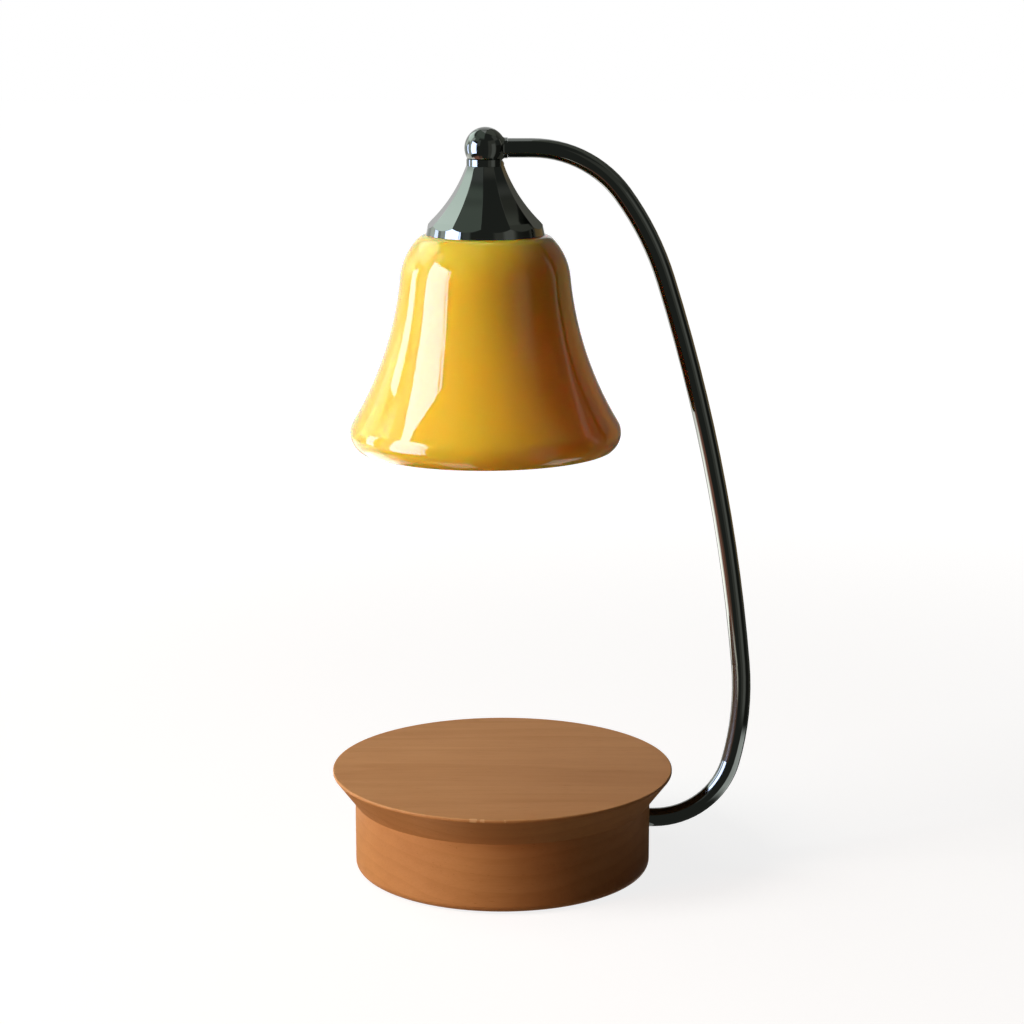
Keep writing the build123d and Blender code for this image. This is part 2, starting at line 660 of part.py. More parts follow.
# ---- canopy and the parts that press it against the cup ----
canopy_outside = faceted_dome(CANOPY_FOOT, 0.0)
canopy_inside = faceted_dome(CANOPY_FOOT - CANOPY_WALL, CANOPY_WALL)
with BuildPart() as canopy:
    add(canopy_outside)
    curved_edges = canopy.edges().filter_by(GeomType.LINE, reverse=True)
    facet_edges = curved_edges.filter_by(GeomType.CIRCLE, reverse=True)
    fillet(facet_edges, radius=CANOPY_EDGE_ROUND)
    add(canopy_inside, mode=Mode.SUBTRACT)
    with BuildSketch(head_level(CANOPY_TOP)):
        Circle(CUP_NECK_RADIUS + FIT)
    extrude(amount=-2 * CANOPY_WALL, mode=Mode.SUBTRACT)

with BuildPart() as pressure_washer:
    with BuildSketch(HEAD_FRONT):
        with BuildLine():
            Polyline(
                (CUP_NECK_RADIUS + FIT, CANOPY_TOP - CANOPY_WALL),
                (WASHER_RADIUS, CANOPY_TOP - CANOPY_WALL),
                (WASHER_RADIUS, WASHER_FOOT),
                (STEM_RADIUS + FIT, WASHER_FOOT),
                (STEM_RADIUS + FIT, CUP_FOOT - FIT),
                (CUP_NECK_RADIUS + FIT, CUP_FOOT - FIT),
                close=True,
            )
        make_face()
    revolve(axis=HEAD_AXIS)

spring_washer = ring(
    head_level(HOUSING_TOP + NUT_HEIGHT),
    STEM_RADIUS + FIT,
    SPRING_WASHER_RADIUS,
    WASHER_FOOT - HOUSING_TOP - NUT_HEIGHT,
)
tension_nut = hex_nut(HOUSING_TOP)
housing_nut = hex_nut(HOUSING_TOP - HOUSING_PLATE - NUT_HEIGHT)

# ---- bulb holder ----
HOLDER_SCREW_SPOTS = [(HEAD_X, -HOLDER_SCREW_Y), (HEAD_X, HOLDER_SCREW_Y)]

with BuildPart() as holder_housing:
    with BuildSketch(HEAD_FRONT):
        with BuildLine():
            Polyline(
                (STEM_RADIUS + FIT, HOUSING_TOP),
                (HOUSING_TOP_RADIUS, HOUSING_TOP),
                (HOUSING_RADIUS, HOUSING_CONE_FOOT),
                (HOUSING_RADIUS, FLANGE_TOP),
                (FLANGE_RADIUS, FLANGE_TOP),
                (FLANGE_RADIUS, FLANGE_TOP - FLANGE_THICKNESS),
                (SLEEVE_RADIUS, FLANGE_TOP - FLANGE_THICKNESS),
                (SLEEVE_RADIUS, SLEEVE_FOOT),
                (SLEEVE_BORE, SLEEVE_FOOT),
                (SLEEVE_BORE, HOUSING_CONE_FOOT),
                (HOUSING_TOP_RADIUS - HOUSING_WALL, HOUSING_TOP - HOUSING_PLATE),
                (STEM_RADIUS + FIT, HOUSING_TOP - HOUSING_PLATE),
                close=True,
            )
        make_face()
    revolve(axis=HEAD_AXIS)
    cut_upwards(
        HOLDER_SCREW_SPOTS,
        HOLDER_SCREW_RADIUS,
        BALL_Z + HOUSING_TOP - HOUSING_PLATE,
        BALL_Z + HOUSING_TOP,
    )

with BuildPart() as lamp_holder:
    with BuildSketch(HEAD_FRONT):
        with BuildLine():
            Polyline(
                (HOLDER_RECESS[0], HOLDER_TOP),
                (HOLDER_TOP_RADIUS, HOLDER_TOP),
                (HOLDER_RADIUS, HOUSING_CONE_FOOT),
                (HOLDER_RADIUS, HOLDER_FACE),
                (0, HOLDER_FACE),
                (0, HOLDER_RECESS[1]),
                (HOLDER_RECESS[0], HOLDER_RECESS[1]),
                close=True,
            )
        make_face()
    revolve(axis=HEAD_AXIS)
    with BuildSketch(head_level(HOLDER_FACE)):
        pin_tracks(2 * (PIN_SHANK_RADIUS + SLOT_SPARE))
        with PolarLocations(PIN_CIRCLE, 2, start_angle=BULB_TWIST):
            Circle(PIN_HEAD_RADIUS + PIN_SPARE)
    extrude(amount=PIN_TOP + SLOT_SPARE - HOLDER_FACE, mode=Mode.SUBTRACT)
    with BuildSketch(head_level(PIN_TOP - PIN_HEAD_HEIGHT - PIN_SPARE)):
        pin_tracks(2 * (PIN_HEAD_RADIUS + PIN_SPARE))
    extrude(amount=PIN_HEAD_HEIGHT + PIN_SPARE + SLOT_SPARE, mode=Mode.SUBTRACT)
    with BuildSketch(head_level(PIN_TOP + SLOT_SPARE)):
        pin_tracks(2 * PIN_HEAD_RADIUS)
    extrude(amount=CONTACT_THICKNESS, mode=Mode.SUBTRACT)
    with BuildSketch(head_level(PIN_TOP + SLOT_SPARE)):
        with PolarLocations(PIN_CIRCLE, 2):
            Circle(WIRE_RADIUS)
    extrude(amount=HOLDER_RECESS[1] - PIN_TOP, mode=Mode.SUBTRACT)
    cut_upwards(
        HOLDER_SCREW_SPOTS,
        HOLDER_SCREW_RADIUS,
        BALL_Z + HOLDER_FACE,
        BALL_Z + HOLDER_TOP,
    )
    cut_upwards(
        HOLDER_SCREW_SPOTS,
        HOLDER_SCREW_HEAD[0],
        BALL_Z + HOLDER_FACE,
        BALL_Z + HOLDER_SCREW_SEAT,
    )

with BuildPart() as holder_contacts:
    with BuildSketch(head_level(PIN_TOP + SLOT_SPARE)):
        pin_tracks(2 * PIN_HEAD_RADIUS)
    extrude(amount=CONTACT_THICKNESS)

holder_screws = screws(
    HOLDER_SCREW_SPOTS,
    BALL_Z + HOLDER_SCREW_SEAT,
    HOLDER_SCREW_HEAD,
    HOLDER_SCREW_RADIUS,
    BALL_Z + HOLDER_SCREW_TIP,
)

first_lead = head_wire(-1)
second_lead = head_wire(1)
with BuildPart() as head_wires:
    add([first_lead, second_lead])

# ---- glass shade and the parts that clamp it ----
upper_gasket = ring(
    head_level(SHADE_TOP),
    SLEEVE_RADIUS,
    FLANGE_RADIUS,
    FLANGE_TOP - FLANGE_THICKNESS - SHADE_TOP,
)

with BuildPart() as glass_shade:
    with BuildSketch(HEAD_FRONT) as shade_profile:
        with BuildLine() as shade_outline:
            shade_flat = Line((SHADE_HOLE_RADIUS, SHADE_TOP), (SHADE_FLAT_RADIUS, SHADE_TOP))
            tangent_arcs(shade_flat @ 1, shade_flat % 1, SHADE_BENDS)
            offset(amount=SHADE_WALL, side=Side.RIGHT)
        make_face()
        rim_corners = shade_profile.vertices().sort_by(Axis.Y)[:2]
        fillet(rim_corners, radius=SHADE_RIM_ROUND)
    revolve(axis=HEAD_AXIS)

lower_gasket = ring(
    head_level(SHADE_TOP - SHADE_WALL - LOWER_GASKET_THICKNESS),
    SLEEVE_RADIUS,
    SHADE_RING_RADIUS,
    LOWER_GASKET_THICKNESS,
)

with BuildPart() as shade_ring:
    with BuildSketch(head_level(SHADE_TOP - SHADE_WALL - LOWER_GASKET_THICKNESS)):
        RegularPolygon(SHADE_RING_RADIUS, SHADE_RING_SIDES)
        Circle(SLEEVE_RADIUS, mode=Mode.SUBTRACT)
    extrude(amount=-SHADE_RING_HEIGHT)

# ---- bulb ----
with BuildPart() as bulb_pins:
    with BuildSketch(head_level(BULB_CAP_TOP)):
        with PolarLocations(PIN_CIRCLE, 2):
            Circle(PIN_SHANK_RADIUS)
    extrude(amount=PIN_TOP - BULB_CAP_TOP)
    with BuildSketch(head_level(PIN_TOP)):
        with PolarLocations(PIN_CIRCLE, 2):
            Circle(PIN_HEAD_RADIUS)
    extrude(amount=-PIN_HEAD_HEIGHT)

with BuildPart() as bulb_cap:
    with BuildSketch(head_level(BULB_CAP_TOP)):
        RectangleRounded(BULB_CAP_SIZE[0], BULB_CAP_SIZE[1], radius=BULB_CAP_ROUND)
    extrude(amount=BULB_CAP_FOOT - BULB_CAP_TOP)

with BuildPart() as bulb_reflector:
    with BuildSketch(HEAD_FRONT):
        with BuildLine():
            outside = Spline(bulb_curve(BULB_CAP_FOOT, BULB_RIM, 0.0))
            inside = Spline(bulb_curve(BULB_CAP_FOOT - BULB_WALL, BULB_LENS_TOP, BULB_WALL))
            Polyline(
                outside @ 1,
                (BULB_RADIUS, BULB_FRONT),
                (BULB_RADIUS - BULB_WALL, BULB_FRONT),
                (BULB_RADIUS - BULB_WALL, BULB_LENS_TOP),
                inside @ 1,
            )
            Polyline(
                inside @ 0,
                (CAPSULE_NECK_RADIUS, BULB_CAP_FOOT - BULB_WALL),
                (CAPSULE_NECK_RADIUS, BULB_CAP_FOOT),
                outside @ 0,
            )
        make_face()
    revolve(axis=HEAD_AXIS)

with BuildPart() as bulb_lens:
    with BuildSketch(head_level(BULB_FRONT)):
        Circle(BULB_RADIUS - BULB_WALL)
    extrude(amount=BULB_LENS_TOP - BULB_FRONT)

with BuildPart() as bulb_capsule:
    with BuildSketch(HEAD_FRONT):
        with BuildLine():
            neck = Polyline(
                (0, BULB_CAP_FOOT),
                (CAPSULE_NECK_RADIUS, BULB_CAP_FOOT),
                (CAPSULE_NECK_RADIUS, CAPSULE_NECK_FOOT),
                (CAPSULE_RADIUS, CAPSULE_SHOULDER),
                (CAPSULE_RADIUS, CAPSULE_DOME_TOP),
            )
            dome = JernArc(neck @ 1, (0, -1), CAPSULE_RADIUS, -90)
            Line(dome @ 1, neck @ 0)
        make_face()
    revolve(axis=HEAD_AXIS)

# ---- one file for each sub-part ----
PIECES = {
    "wood_base": wood_base,
    "foot_pad": foot_pad,
    "bottom_plate": bottom_plate,
    "bottom_screws": bottom_screws,
    "ballast_plate": ballast_plate,
    "ballast_screws": ballast_screws,
    "arm_clamp": arm_clamp,
    "arm_clamp_screws": arm_clamp_screws,
    "arm_grub_screw": arm_grub_screw,
    "cord_bush": cord_bush,
    "cord_anchor": cord_anchor,
    "cord_strap": cord_strap,
    "cord_strap_screws": cord_strap_screws,
    "terminal_block": terminal_block,
    "terminal_inserts": terminal_inserts,
    "terminal_screws": terminal_screws,
    "terminal_fixing_screw": terminal_fixing_screw,
    "arm_tube": arm_tube,
    "arm_wires": arm_wires,
    "knuckle_ball": knuckle_ball,
    "ball_cap": ball_cap,
    "socket_cup": socket_cup,
    "swivel_stem": swivel_stem,
    "canopy": canopy,
    "pressure_washer": pressure_washer,
    "spring_washer": spring_washer,
    "tension_nut": tension_nut,
    "housing_nut": housing_nut,
    "holder_housing": holder_housing,
    "lamp_holder": lamp_holder,
    "holder_contacts": holder_contacts,
    "holder_screws": holder_screws,
    "head_wires": head_wires,
    "upper_gasket": upper_gasket,
    "glass_shade": glass_shade,
    "lower_gasket": lower_gasket,
    "shade_ring": shade_ring,
    "bulb_pins": bulb_pins,
    "bulb_cap": bulb_cap,
    "bulb_reflector": bulb_reflector,
    "bulb_lens": bulb_lens,
    "bulb_capsule": bulb_capsule,
}

os.makedirs("parts", exist_ok=True)
for name, piece in PIECES.items():
    piece.part.label = name
    export_step(piece.part, f"parts/{name}.step")
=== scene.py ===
"""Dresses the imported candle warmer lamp: finishes, bulb details, studio and camera.

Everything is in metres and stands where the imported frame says. The origin is the middle of the
face that the lamp stands on, +X is the side of the arm, +Y the back and +Z up.
"""

from __future__ import annotations

import logging
import math
from dataclasses import dataclass
from enum import Enum
from typing import ClassVar

import bmesh
import bpy
from mathutils import Matrix, Vector


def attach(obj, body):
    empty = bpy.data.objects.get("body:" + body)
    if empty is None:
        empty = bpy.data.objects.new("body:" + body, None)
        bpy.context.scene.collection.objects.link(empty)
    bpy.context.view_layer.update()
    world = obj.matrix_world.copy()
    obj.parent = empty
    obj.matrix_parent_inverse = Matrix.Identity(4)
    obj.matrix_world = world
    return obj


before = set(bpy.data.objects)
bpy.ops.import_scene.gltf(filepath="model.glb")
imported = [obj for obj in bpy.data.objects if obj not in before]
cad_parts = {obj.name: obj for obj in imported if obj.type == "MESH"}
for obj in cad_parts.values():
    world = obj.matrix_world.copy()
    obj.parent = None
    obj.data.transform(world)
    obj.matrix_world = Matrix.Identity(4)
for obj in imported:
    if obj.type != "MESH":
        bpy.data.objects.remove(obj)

LOG = logging.getLogger("candle_warmer_lamp")
MM = 0.001

Colour = tuple[float, float, float]
Point = tuple[float, float, float]
Span = tuple[float, float]
Socket = bpy.types.NodeSocket
Inputs = dict[str | int, object]

ORIGIN: Point = (0.0, 0.0, 0.0)
BALL_CENTRE: Point = (-0.0069, 0.0, 0.309068)


class Body(Enum):
    """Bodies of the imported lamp, from the root out."""

    STAND = "stand"
    BALL = "ball"
    SOCKET = "socket"
    HEAD = "head"
    BULB = "bulb"


# ------------------------------ Shader trees ------------------------------


@dataclass
class ShaderTree:
    """Adds and joins the nodes of one material, world or node group.

    Attributes:
        tree: The node tree that is being filled.
    """

    tree: bpy.types.NodeTree

    @classmethod
    def blank(cls, owner: bpy.types.ID) -> ShaderTree:
        """Returns the emptied tree of a material or a world.

        Args:
            owner: The material or the world.

        Returns:
            Its tree.
        """
        owner.use_nodes = True
        owner.node_tree.nodes.clear()
        return cls(owner.node_tree)

    def feed(self, node: bpy.types.Node, inputs: Inputs) -> None:
        """Links other nodes' outputs to a node's inputs, or sets the inputs to plain values.

        Args:
            node: The node to feed.
            inputs: Outputs, numbers, vectors or colours, by the input's name or number.
        """
        for name, value in inputs.items():
            socket = node.inputs[name]
            if isinstance(value, bpy.types.NodeSocket):
                self.tree.links.new(value, socket)
            elif socket.type == "RGBA" and len(value) == 3:
                socket.default_value = (*value, 1.0)
            else:
                socket.default_value = value

    def add(self, kind: str, inputs: Inputs | None = None, **settings: object) -> bpy.types.Node:
        """Adds a node.

        Args:
            kind: The node's type without its "ShaderNode" in front.
            inputs: What feeds its inputs, by name or number.
            **settings: The node's own properties.

        Returns:
            The new node.
        """
        node = self.tree.nodes.new("ShaderNode" + kind)
        for name, value in settings.items():
            setattr(node, name, value)
        self.feed(node, inputs or {})
        return node

    def math(
        self, operation: str, first: object, second: object = 0.0, clamp: bool = False
    ) -> Socket:
        """Adds a Math node and returns its value."""
        node = self.add("Math", {0: first, 1: second}, operation=operation, use_clamp=clamp)
        return node.outputs[0]

    def plus(self, first: object, second: object, clamp: bool = False) -> Socket:
        """Returns the sum of two values."""
        return self.math("ADD", first, second, clamp)

    def minus(self, first: object, second: object, clamp: bool = False) -> Socket:
        """Returns the difference of two values."""
        return self.math("SUBTRACT", first, second, clamp)

    def times(self, first: object, second: object) -> Socket:
        """Returns the product of two values."""
        return self.math("MULTIPLY", first, second)

    def vector(self, operation: str, first: object, second: object = ORIGIN) -> Socket:
        """Adds a Vector Math node.

        Args:
            operation: Blender's name for what it does.
            first: The first vector.
            second: The second vector.

        Returns:
            Its vector, or its value for a dot product, a length or a distance.
        """
        node = self.add("VectorMath", {0: first, 1: second}, operation=operation)
        scalar = operation in {"DOT_PRODUCT", "LENGTH", "DISTANCE"}
        return node.outputs["Value" if scalar else "Vector"]

    def split(self, vector: Socket) -> list[Socket]:
        """Returns the three parts of a vector."""
        return list(self.add("SeparateXYZ", {0: vector}).outputs)

    def join(self, x: object, y: object, z: object) -> Socket:
        """Returns a vector made of three parts."""
        return self.add("CombineXYZ", {0: x, 1: y, 2: z}).outputs[0]

    def remap(self, value: Socket, low: float, high: float, to: Span = (0.0, 1.0)) -> Socket:
        """Moves a value from one range to another, with soft ends.

        Args:
            value: The value to move.
            low: Start of the old range.
            high: End of the old range.
            to: Results at the start and at the end.

        Returns:
            The new value.
        """
        inputs = {"Value": value, "From Min": low, "From Max": high}
        inputs |= {"To Min": to[0], "To Max": to[1]}
        return self.add("MapRange", inputs, interpolation_type="SMOOTHSTEP").outputs["Result"]

    def mix(self, share: object, first: object, second: object, blend: str = "MIX") -> Socket:
        """Mixes two colours.

        Args:
            share: How much of the second colour shows.
            first: The first colour.
            second: The second colour.
            blend: Blender's name for the way they mix.

        Returns:
            The mixed colour.
        """
        node = self.add("Mix", data_type="RGBA", blend_type=blend)
        self.feed(node, {0: share, 6: first, 7: second})
        return node.outputs[2]

    def noise(
        self,
        vector: Socket,
        scale: object,
        detail: float = 2.0,
        distortion: float = 0.0,
        stretch: Point | None = None,
    ) -> Socket:
        """Adds a Noise Texture.

        Args:
            vector: The place.
            scale: How close its lumps lie.
            detail: How many finer layers it has.
            distortion: How much it is twisted.
            stretch: Factors on the place's parts; below 1 they draw the noise out that way.

        Returns:
            Its value.
        """
        if stretch is not None:
            vector = self.vector("MULTIPLY", vector, stretch)
        inputs = {"Vector": vector, "Scale": scale, "Detail": detail, "Distortion": distortion}
        return self.add("TexNoise", inputs).outputs["Fac"]

    def bump(self, height: Socket, depth: float) -> Socket:
        """Adds a bump.

        Args:
            height: Its height, from 0 to 1.
            depth: How far the height of 1 stands proud, in metres.

        Returns:
            The normal.
        """
        node = self.add("Bump", {"Height": height, "Strength": 1.0, "Distance": depth})
        return node.outputs["Normal"]

    def emit(self, colour: object, strength: float) -> None:
        """Makes the material glow, and nothing else."""
        light = self.add("Emission", {"Color": colour, "Strength": strength})
        self.add("OutputMaterial", {"Surface": light.outputs[0]})

    def place(self) -> Socket:
        """Returns the position in the piece's own frame."""
        return self.add("TexCoord").outputs["Object"]

    def facing(self) -> Socket:
        """Returns the normal in the piece's own frame."""
        return self.add("TexCoord").outputs["Normal"]


class Effect:
    """A shader group that several finishes place, each with its own values.

    Attributes:
        name: The group's name.
        sockets: Its inputs by name, with their usual values.
        results: Names of its outputs, which are all numbers.
    """

    name: ClassVar[str]
    sockets: ClassVar[dict[str, float | Point]]
    results: ClassVar[tuple[str, ...]]

    @classmethod
    def fill(cls, tree: ShaderTree, given: dict[str, Socket]) -> dict[str, Socket]:
        """Builds the inside of the group.

        Args:
            tree: The group's tree.
            given: The group's inputs by name.

        Returns:
            The value for each of the group's outputs.
        """
        raise NotImplementedError

    @classmethod
    def group(cls) -> bpy.types.NodeTree:
        """Returns the group, and builds it on the first call.

        Returns:
            The group.
        """
        made = bpy.data.node_groups.get(cls.name)
        if made is not None:
            return made
        made = bpy.data.node_groups.new(cls.name, "ShaderNodeTree")
        for name, usual in cls.sockets.items():
            kind = "NodeSocketFloat" if isinstance(usual, float) else "NodeSocketVector"
            socket = made.interface.new_socket(name=name, in_out="INPUT", socket_type=kind)
            socket.default_value = usual
        for name in cls.results:
            made.interface.new_socket(name=name, in_out="OUTPUT", socket_type="NodeSocketFloat")
        entry = made.nodes.new("NodeGroupInput")
        way_out = made.nodes.new("NodeGroupOutput")
        given = {socket.name: socket for socket in entry.outputs if socket.name}
        for name, socket in cls.fill(ShaderTree(made), given).items():
            made.links.new(socket, way_out.inputs[name])
        return made

    @classmethod
    def put(cls, tree: ShaderTree, **values: object) -> list[Socket]:
        """Places the group in a material.

        Args:
            tree: The material's tree.
            **values: The group's inputs by name, in lower case.

        Returns:
            The group's outputs, in their order.
        """
        inputs = {name.capitalize(): value for name, value in values.items()}
        return list(tree.add("Group", inputs, node_tree=cls.group()).outputs)


class Mottle(Effect):
    """Soft cloudy variation, for colour and gloss.

    Attributes:
        finer: How much closer the fine noise lies than the slow one.
    """

    name = "mottle"
    sockets = {"Place": ORIGIN, "Scale": 60.0, "Contrast": 1.6}
    results = ("Tone", "Fine")
    finer: ClassVar[float] = 14.0

    @classmethod
    def fill(cls, tree: ShaderTree, given: dict[str, Socket]) -> dict[str, Socket]:
        """Spreads a slow noise about its middle, and adds a fine one beside it.

        Args:
            tree: The group's tree.
            given: The group's inputs by name.

        Returns:
            The cloudy tone and the fine noise.
        """
        slow = tree.noise(given["Place"], given["Scale"], detail=3.0)
        spread = tree.times(tree.minus(slow, 0.5), given["Contrast"])
        fine = tree.noise(given["Place"], tree.times(given["Scale"], cls.finer))
        return {"Tone": tree.plus(spread, 0.5, clamp=True), "Fine": fine}


class Hairlines(Effect):
    """Thin wandering scratches from handling.

    Attributes:
        ways: How each of the two sets of scratches is turned and stretched.
        patch_scale: How close the scratched patches lie.
        patch_edge: The patches' noise where scratches start and where they show fully.
    """

    name = "hairlines"
    sockets = {"Place": ORIGIN, "Scale": 90.0, "Width": 0.012}
    results = ("Mask",)
    ways: ClassVar[tuple[tuple[Point, Point], ...]] = (
        ((0.4, 0.9, 0.2), (1.0, 0.12, 0.5)),
        ((1.3, 0.2, 2.1), (0.15, 1.0, 0.6)),
    )
    patch_scale: ClassVar[float] = 70.0
    patch_edge: ClassVar[Span] = (0.52, 0.62)

    @classmethod
    def fill(cls, tree: ShaderTree, given: dict[str, Socket]) -> dict[str, Socket]:
        """Keeps the thin bands where two long stretched noises pass their middle.

        Args:
            tree: The group's tree.
            given: The group's inputs by name.

        Returns:
            The scratches' mask.
        """
        patch = tree.remap(tree.noise(given["Place"], cls.patch_scale, detail=1.0), *cls.patch_edge)
        masks = []
        for turn, stretch in cls.ways:
            laid = {"Vector": given["Place"], "Rotation": turn, "Scale": stretch}
            turned = tree.add("Mapping", laid).outputs[0]
            noise = tree.noise(turned, given["Scale"], detail=1.0)
            away = tree.math("ABSOLUTE", tree.minus(noise, 0.5))
            line = tree.minus(1.0, tree.math("DIVIDE", away, given["Width"]), clamp=True)
            masks.append(tree.times(line, patch))
        return {"Mask": tree.math("MAXIMUM", *masks)}


class TurningLines(Effect):
    """Fine rings that a lathe or a rotary brush leaves round the upright axis of the base."""

    name = "turning_lines"
    sockets = {"Place": ORIGIN, "Pitch": 0.0004}
    results = ("Height",)

    @classmethod
    def fill(cls, tree: ShaderTree, given: dict[str, Socket]) -> dict[str, Socket]:
        """Counts rings by distance from the axis and height, and breaks their evenness up.

        Args:
            tree: The group's tree.
            given: The group's inputs by name.

        Returns:
            The rings' height.
        """
        x, y, z = tree.split(given["Place"])
        across = tree.vector("LENGTH", tree.join(x, y, 0.0))
        rings = tree.math("DIVIDE", tree.plus(across, z), given["Pitch"])
        return {"Height": tree.noise(tree.join(rings, 0.0, 0.0), 1.0)}


class Specks(Effect):
    """Scattered round specks or pits.

    Attributes:
        bare: Share of the cells that stay without a speck.
    """

    name = "specks"
    sockets = {"Place": ORIGIN, "Scale": 900.0, "Size": 0.22}
    results = ("Mask",)
    bare: ClassVar[float] = 0.6

    @classmethod
    def fill(cls, tree: ShaderTree, given: dict[str, Socket]) -> dict[str, Socket]:
        """Keeps the middles of some of the cells of a Voronoi texture.

        Args:
            tree: The group's tree.
            given: The group's inputs by name.

        Returns:
            The specks' mask.
        """
        cells = tree.add("TexVoronoi", {"Vector": given["Place"], "Scale": given["Scale"]})
        away = tree.math("DIVIDE", cells.outputs["Distance"], given["Size"])
        red = tree.add("SeparateColor", {0: cells.outputs["Color"]}).outputs[0]
        kept = tree.math("GREATER_THAN", red, cls.bare)
        return {"Mask": tree.times(tree.minus(1.0, away, clamp=True), kept)}


class SettledDust(Effect):
    """Thin dust on faces that look up.

    Attributes:
        upward: How far a face looks up where dust starts and where it lies fully.
        patch_scale: How close the dust's patches lie.
        patch_edge: The patches' noise where dust starts and where it lies fully.
    """

    name = "settled_dust"
    sockets = {"Place": ORIGIN, "Facing": (0.0, 0.0, 1.0)}
    results = ("Mask",)
    upward: ClassVar[Span] = (0.35, 1.0)
    patch_scale: ClassVar[float] = 130.0
    patch_edge: ClassVar[Span] = (0.4, 0.75)

    @classmethod
    def fill(cls, tree: ShaderTree, given: dict[str, Socket]) -> dict[str, Socket]:
        """Multiplies how far a face looks up by a patchy noise.

        Args:
            tree: The group's tree.
            given: The group's inputs by name.

        Returns:
            The dust's mask.
        """
        upward = tree.remap(tree.split(given["Facing"])[2], *cls.upward)
        noise = tree.noise(given["Place"], cls.patch_scale, detail=5.0)
        return {"Mask": tree.times(upward, tree.remap(noise, *cls.patch_edge))}


# ------------------------------ Finishes ------------------------------


@dataclass(frozen=True)
class Finish:
    """A surface finish, which makes its material once.

    Attributes:
        settings: Properties of the Principled shader that aren't inputs.
        slot: The record's material slot, which also names the material.
    """

    settings: ClassVar[dict[str, str]] = {}
    slot: str

    def material(self) -> bpy.types.Material:
        """Returns the material, and makes it on the first call.

        Returns:
            The material.
        """
        name = "finish_" + self.slot
        made = bpy.data.materials.get(name)
        if made is None:
            made = bpy.data.materials.new(name)
            tree = ShaderTree.blank(made)
            surface = tree.add("BsdfPrincipled", self.paint(tree), **self.settings)
            tree.add("OutputMaterial", {"Surface": surface.outputs["BSDF"]})
        return made

    def paint(self, tree: ShaderTree) -> Inputs:
        """Builds what feeds the Principled shader.

        Args:
            tree: The material's tree.

        Returns:
            The shader's inputs by name.
        """
        raise NotImplementedError


